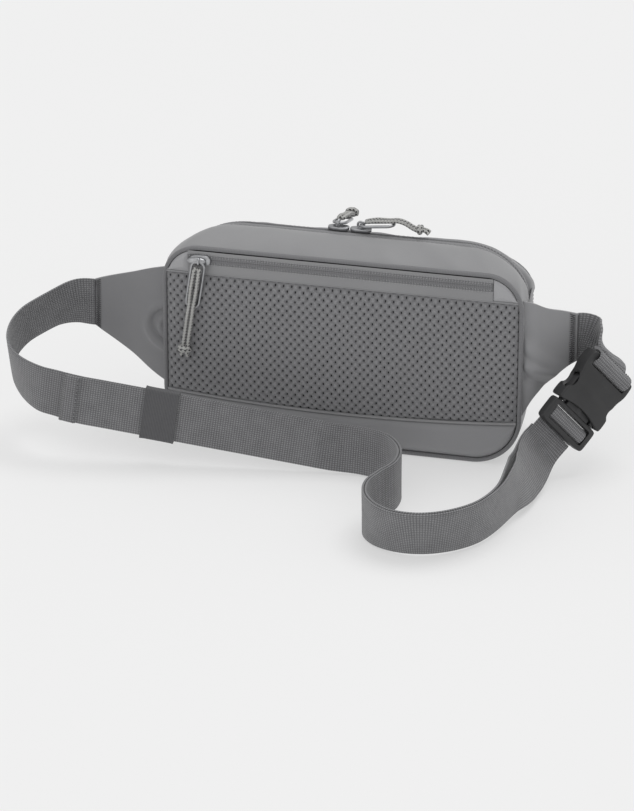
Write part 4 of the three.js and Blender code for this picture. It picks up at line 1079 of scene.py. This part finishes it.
def make_buckle():
    # Male half: a frame round the ladder-lock bar, and the plate that the centre guide grows from.
    outline = [(0.2, -18), (0.2, 0), (0.2, 18), (1.5, 20.8), (8, 20.9), (15, 20.9), (16.9, 19.5), (16.9, 0),
               (16.9, -19.5), (15, -20.9), (8, -20.9), (1.5, -20.8)]
    male = slab("buckle_frame_body", smooth_outline(outline), 7.0, 1.3)
    cut(male, brick((3.2, -9, -16.8), (14.0, 9, 16.8), 1.0))
    cut(male, brick((6.9, -1.8, -17.5), (9.7, 1.1, 17.5), 0.6), brick((15.0, -2.6, -11.0), (21.6, 2.6, 11.0), 0.5),
        operation='UNION')
    put_in_buckle(male)
    dress(round_edges(male, 0.15, 1, 50), ACETAL, "buckle_male_frame", slot="acetal", sharp=35)

    # Female half: waisted sides with an oval window each, a hollow mouth and the strap bar.
    half = [(17.4, 20.9), (24.5, 20.9), (27.5, 20.2), (30.5, 18.7), (35.5, 18.5), (39.5, 19.0), (43.5, 20.4),
            (47, 20.8), (53.5, 20.3), (54.8, 18.6), (54.8, 9)]
    mouth = [(17.4 + 3.4 * (1 - (z / 19) ** 2), z) for z in (-17, -12, -6, 0, 6, 12, 17)]
    outline = half + [(x, -z) for x, z in reversed(half)] + mouth
    female = slab("buckle_shell_body", smooth_outline(outline, 3), 10.6, 2.0, 4)
    hollow = brick((12, -3.4, -17.4), (40.4, 3.4, 17.4), 0)
    slot = brick((46.0, -9, -16.7), (50.1, 9, 16.7), 0.8)
    scoops = [ball(40, 24, (7.4, 6.6, 5.0), (31.4, 0, z)) for z in (-20.2, 20.2)]       # they bare the prongs
    cut(female, hollow, slot, *scoops)
    put_in_buckle(female)
    dress(round_edges(female, 0.35, 2, 40), ACETAL, "buckle_female", body="female_buckle", slot="acetal", sharp=35)

    for node, body in (("buckle_prong_upper", "upper_prong"), ("buckle_prong_lower", "lower_prong"),
                       ("buckle_centre_guide", "pack")):
        piece = round_edges(from_cad(node, node + "_moulding"), 0.7, 3, 30)
        dress(piece, ACETAL, node, body=body, slot="acetal", sharp=35)

    # The strap where it goes through the ladder lock.
    lock = Route([in_buckle(x, y) for x, y in (
        (0.2, -4.5), (6, -4.6), (10.4, -4.7), (12.2, -3.5), (12.6, -1.2), (12.0, 1.0), (10.8, 2.3), (8.4, 2.7),
        (6, 2.4), (4.6, 0.9), (4.4, -1.2))], 20)

    def lock_spot(run):
        return lock.place(run), -BUCKLE_WIDTH_WAY, (-BUCKLE_WIDTH_WAY).cross(lock.along(run))
    ribbon("strap_in_lock", 0.0, lock.length, 60, lock_spot, "strap_through_lock")

    # One short strap: from the right wing, down behind the buckle's end, over its bar and in again.
    points = [at(SIDE + x, y, z) for x, y, z in (
        (27.2, 26.4, 81), (30.2, 29.2, 80.8), (34, 31.2, 80), (38, 32.2, 78.4), (42.8, 31.6, 76.6), (47.4, 29.4, 74),
        (50.8, 26.4, 71.2))]
    points += [in_buckle(x, y) for x, y in ((57.3, -3.4), (57.2, 1.0), (55.7, 5.1), (52.6, 7.0),
                                            (49.7, 6.2), (48.0, 3.4), (47.7, -2.8))]
    strap = Route(points, 30)

    def strap_spot(run):
        along = strap.along(run)
        turn_in = ease(0.05, 0.46, run / strap.length)
        up = Vector((0, 0, 1)) * (1 - turn_in) - BUCKLE_WIDTH_WAY * turn_in
        up = (up - along * up.dot(along)).normalized()
        return strap.place(run), up, up.cross(along)
    piece = ribbon("short_strap", 0.0, strap.length, 150, strap_spot, "short_webbing", "buckle_strap_loop", body=None)
    strap.place(0.003)
    strap.place(strap.length * 0.62)
    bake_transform(piece)
    # The strap's folded end is stitched down beside the bar.
    for percent in (66, 70):
        centre, up, side = strap_spot(strap.length * percent / 100)
        face = side if side.dot(BUCKLE_OUT) > 0 else -side
        seam = spread(30, lambda t: centre + face * 0.0009 + up * (t - 0.5) * 0.029)
        stitches(f"short_strap_stitching_{percent}", seam, face, 1.5, 0.5, 0.24, DARK_THREAD, "female_buckle")


# ------------------------------------------------------------------ zip sliders, loops and cords
EAR = 4.4                       # height of the ear's hole above the slider's base
PULL_LIFT = 0.9 + 1.3 + 0.3


def slider_frames():
    back = Matrix.Translation(at(BACK_ZIP_LEFT + 8.5, -2.7, BACK_ZIP_HEIGHT)) @ Matrix.Rotation(math.pi / 2, 4, 'X')
    crest = top_height(ZIP_SETBACK - 3.5) + 0.7
    frames = {"back": back}
    for side, name in ((-1, "left"), (1, "right")):
        frames[name] = Matrix.Translation(at(side * 7.3 - 4, ZIP_SETBACK, crest))
    return frames


def turn(y, z):
    return Matrix.Rotation(math.radians(z), 4, 'Z') @ Matrix.Rotation(math.radians(y), 4, 'Y')


def make_slider(name, place, across):
    """A zip slider: rounded body plates, a ring for the loop's end, and on the back slider a bridge along it."""
    half = [(-7, 1.9), (-3.4, 3.5), (4.6, 3.5), (7, 1.6)]
    outline = [(x, -z) for x, z in half] + half[::-1]
    body = slab(f"{name}_zip_slider", smooth_outline(outline, 4), 2.2, 0.6)
    body.data.transform(Matrix.Translation((0, 0, 1.2)) @ Matrix.Rotation(math.pi / 2, 4, 'X'))
    bpy.ops.mesh.primitive_torus_add(major_radius=2.1, minor_radius=0.75, major_segments=28, minor_segments=12,
                                     location=(0, 0, EAR - 0.1), rotation=(math.pi / 2, 0, across * math.pi / 2))
    parts = [body, settle(bpy.context.object)]
    if name == "back":                # a round bar lies along the slider
        parts.append(ball(24, 16, (6.4, 2.5, 2.2), (-2.0, 0, 3.2)))
    whole = join(f"{name}_zip_slider", *parts)
    whole.data.transform(place @ Matrix.Diagonal((MM, MM, MM, 1)))
    edit(whole, face_out)
    dress(whole, STEEL, f"{name}_slider", body=f"{name}_slider", slot="steel", sharp=45)


def make_pull(name, place, length, lower_run):
    """Wire loop, the doubled cord through it, and its knot with two short ends."""
    def local(x, y, z):
        return place @ (Vector((x, y, z)) * MM)
    bend = 4.2
    points = []
    for cx, start, way in ((bend, 90, -1), (length - bend, 270, 1)):      # each end, and the side that follows it
        for i in range(13):
            angle = math.radians(start + 15 * i)
            points.append(local(cx + bend * math.cos(angle), bend * math.sin(angle), 0))
        points += [local(mix(cx, length - cx, i / 8), way * bend, 0) for i in range(1, 8)]
    loop = sweep(f"{name}_wire_loop", points, 0.95 * MM, 12, loop=True, side_hint=place.to_3x3() @ Vector((0, 0, 1)))
    dress(loop, STEEL, f"{name}_pull_loop", body=f"{name}_loop", slot="steel")

    neck = length - 3
    run = [(5.0, PULL_LIFT - 0.2), (8.0, PULL_LIFT + 0.2), (neck / 2 + 2, PULL_LIFT + 0.4), (neck - 3, PULL_LIFT + 0.1),
           (neck + 0.5, PULL_LIFT)] + [(neck + x, z) for x, z in lower_run]
    strands = []
    for side, mark in ((-1, "a"), (1, "b")):
        def off(x):
            """Half the distance between the strands: apart in the loop, together at the neck."""
            return side * (1.42 + 0.35 * math.sin(math.pi * min(max((x - 5) / (neck - 5), 0), 1))
                           - 0.12 * math.exp(-((x - neck) / 2.5) ** 2))
        line = Route([local(3.8, side * 0.2, PULL_LIFT - 0.2)] + [local(x, off(x), z) for x, z in run], 24)
        path = spread(max(int(line.length / 0.0005), 30), lambda t: line.place(line.length * t))
        strand = sweep(f"{name}_pull_strand_{mark}", path, 1.28 * MM, 12)
        strands.append((dress(strand, CORD_SHEATH, body=None, slot="cord"), path, line.length))

    # Overhand knot: one turn of the doubled cord round itself, and two short cut ends.
    end_x, end_z = run[-1][0], run[-1][1] + 0.9

    def turning(t):
        angle = 2 * math.pi * 1.45 * t + 0.6
        return local(end_x + 0.3 + 2.4 * (t - 0.5), 3.3 * math.cos(angle), end_z + 1.9 * math.sin(angle))
    parts = [sweep(f"{name}_pull_knot_turns", spread(48, turning), 1.25 * MM),
             sweep(f"{name}_pull_knot_core",
                   [local(end_x - 1.5 + i * 0.35, 1.3 * math.sin(i / 3), end_z) for i in range(12)], 1.6 * MM)]
    for side in (-1, 1):
        cut_end = [local(end_x + 1.5 + i * 0.4, side * (0.9 + i * 0.12), end_z - 0.02 * i * i) for i in range(12)]
        parts.append(sweep(f"{name}_pull_tail", cut_end, 1.15 * MM))
    knot = dress(join(f"{name}_pull_knot", *parts), CORD_SHEATH, body=f"{name}_cord", slot="cord")

    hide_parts(f"{name}_cord_upper", f"{name}_cord_lower")
    for number, (strand, path, reach) in enumerate(strands):
        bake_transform(strand)
        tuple(path[0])


def make_pulls():
    frames = slider_frames()
    ear = Matrix.Translation((0, 0, EAR * MM))
    runs = {
        "back": (turn(0, -99), 32, [(6, PULL_LIFT), (19, PULL_LIFT * 0.85), (31, PULL_LIFT * 0.7)]),
        "left": (turn(12, 90), 22, [(6, PULL_LIFT), (10, 1.9), (13.5, 1.2), (15.4, 0.9)]),
        "right": (turn(-6, 0), 22, [(6, PULL_LIFT), (11, 0.6), (15, -2.2), (19.5, -4.6)]),
    }
    for name, (aim, length, lower_run) in runs.items():
        make_slider(name, frames[name], name != "right")
        make_pull(name, frames[name] @ ear @ aim, length, lower_run)


# ------------------------------------------------------------------ floor
def make_floor():
    deselect()
    bpy.ops.mesh.primitive_grid_add(x_subdivisions=8, y_subdivisions=8, size=14, location=(0, 0, -0.0004))
    floor = settle(bpy.context.object)
    floor.name = "floor"
    material, tree = begin("backlit_paper_floor", Roughness=0.95, Specular_IOR_Level=0.0,
                           Emission_Strength=0.45)      # a paper table lit from below too
    for socket, dark, light in (("Base Color", "#B0B0B0", "#B2B2B2"), ("Emission Color", "#FEFEFE", "#FFFFFF")):
        drive(material, socket, blend_colours(tree, blotches(tree, 900, 1), dark, light))
    floor.data.materials.append(material)


make_pulls()
make_case()
make_back()
make_insides()
make_wings()
make_belt()
make_buckle()
make_floor()
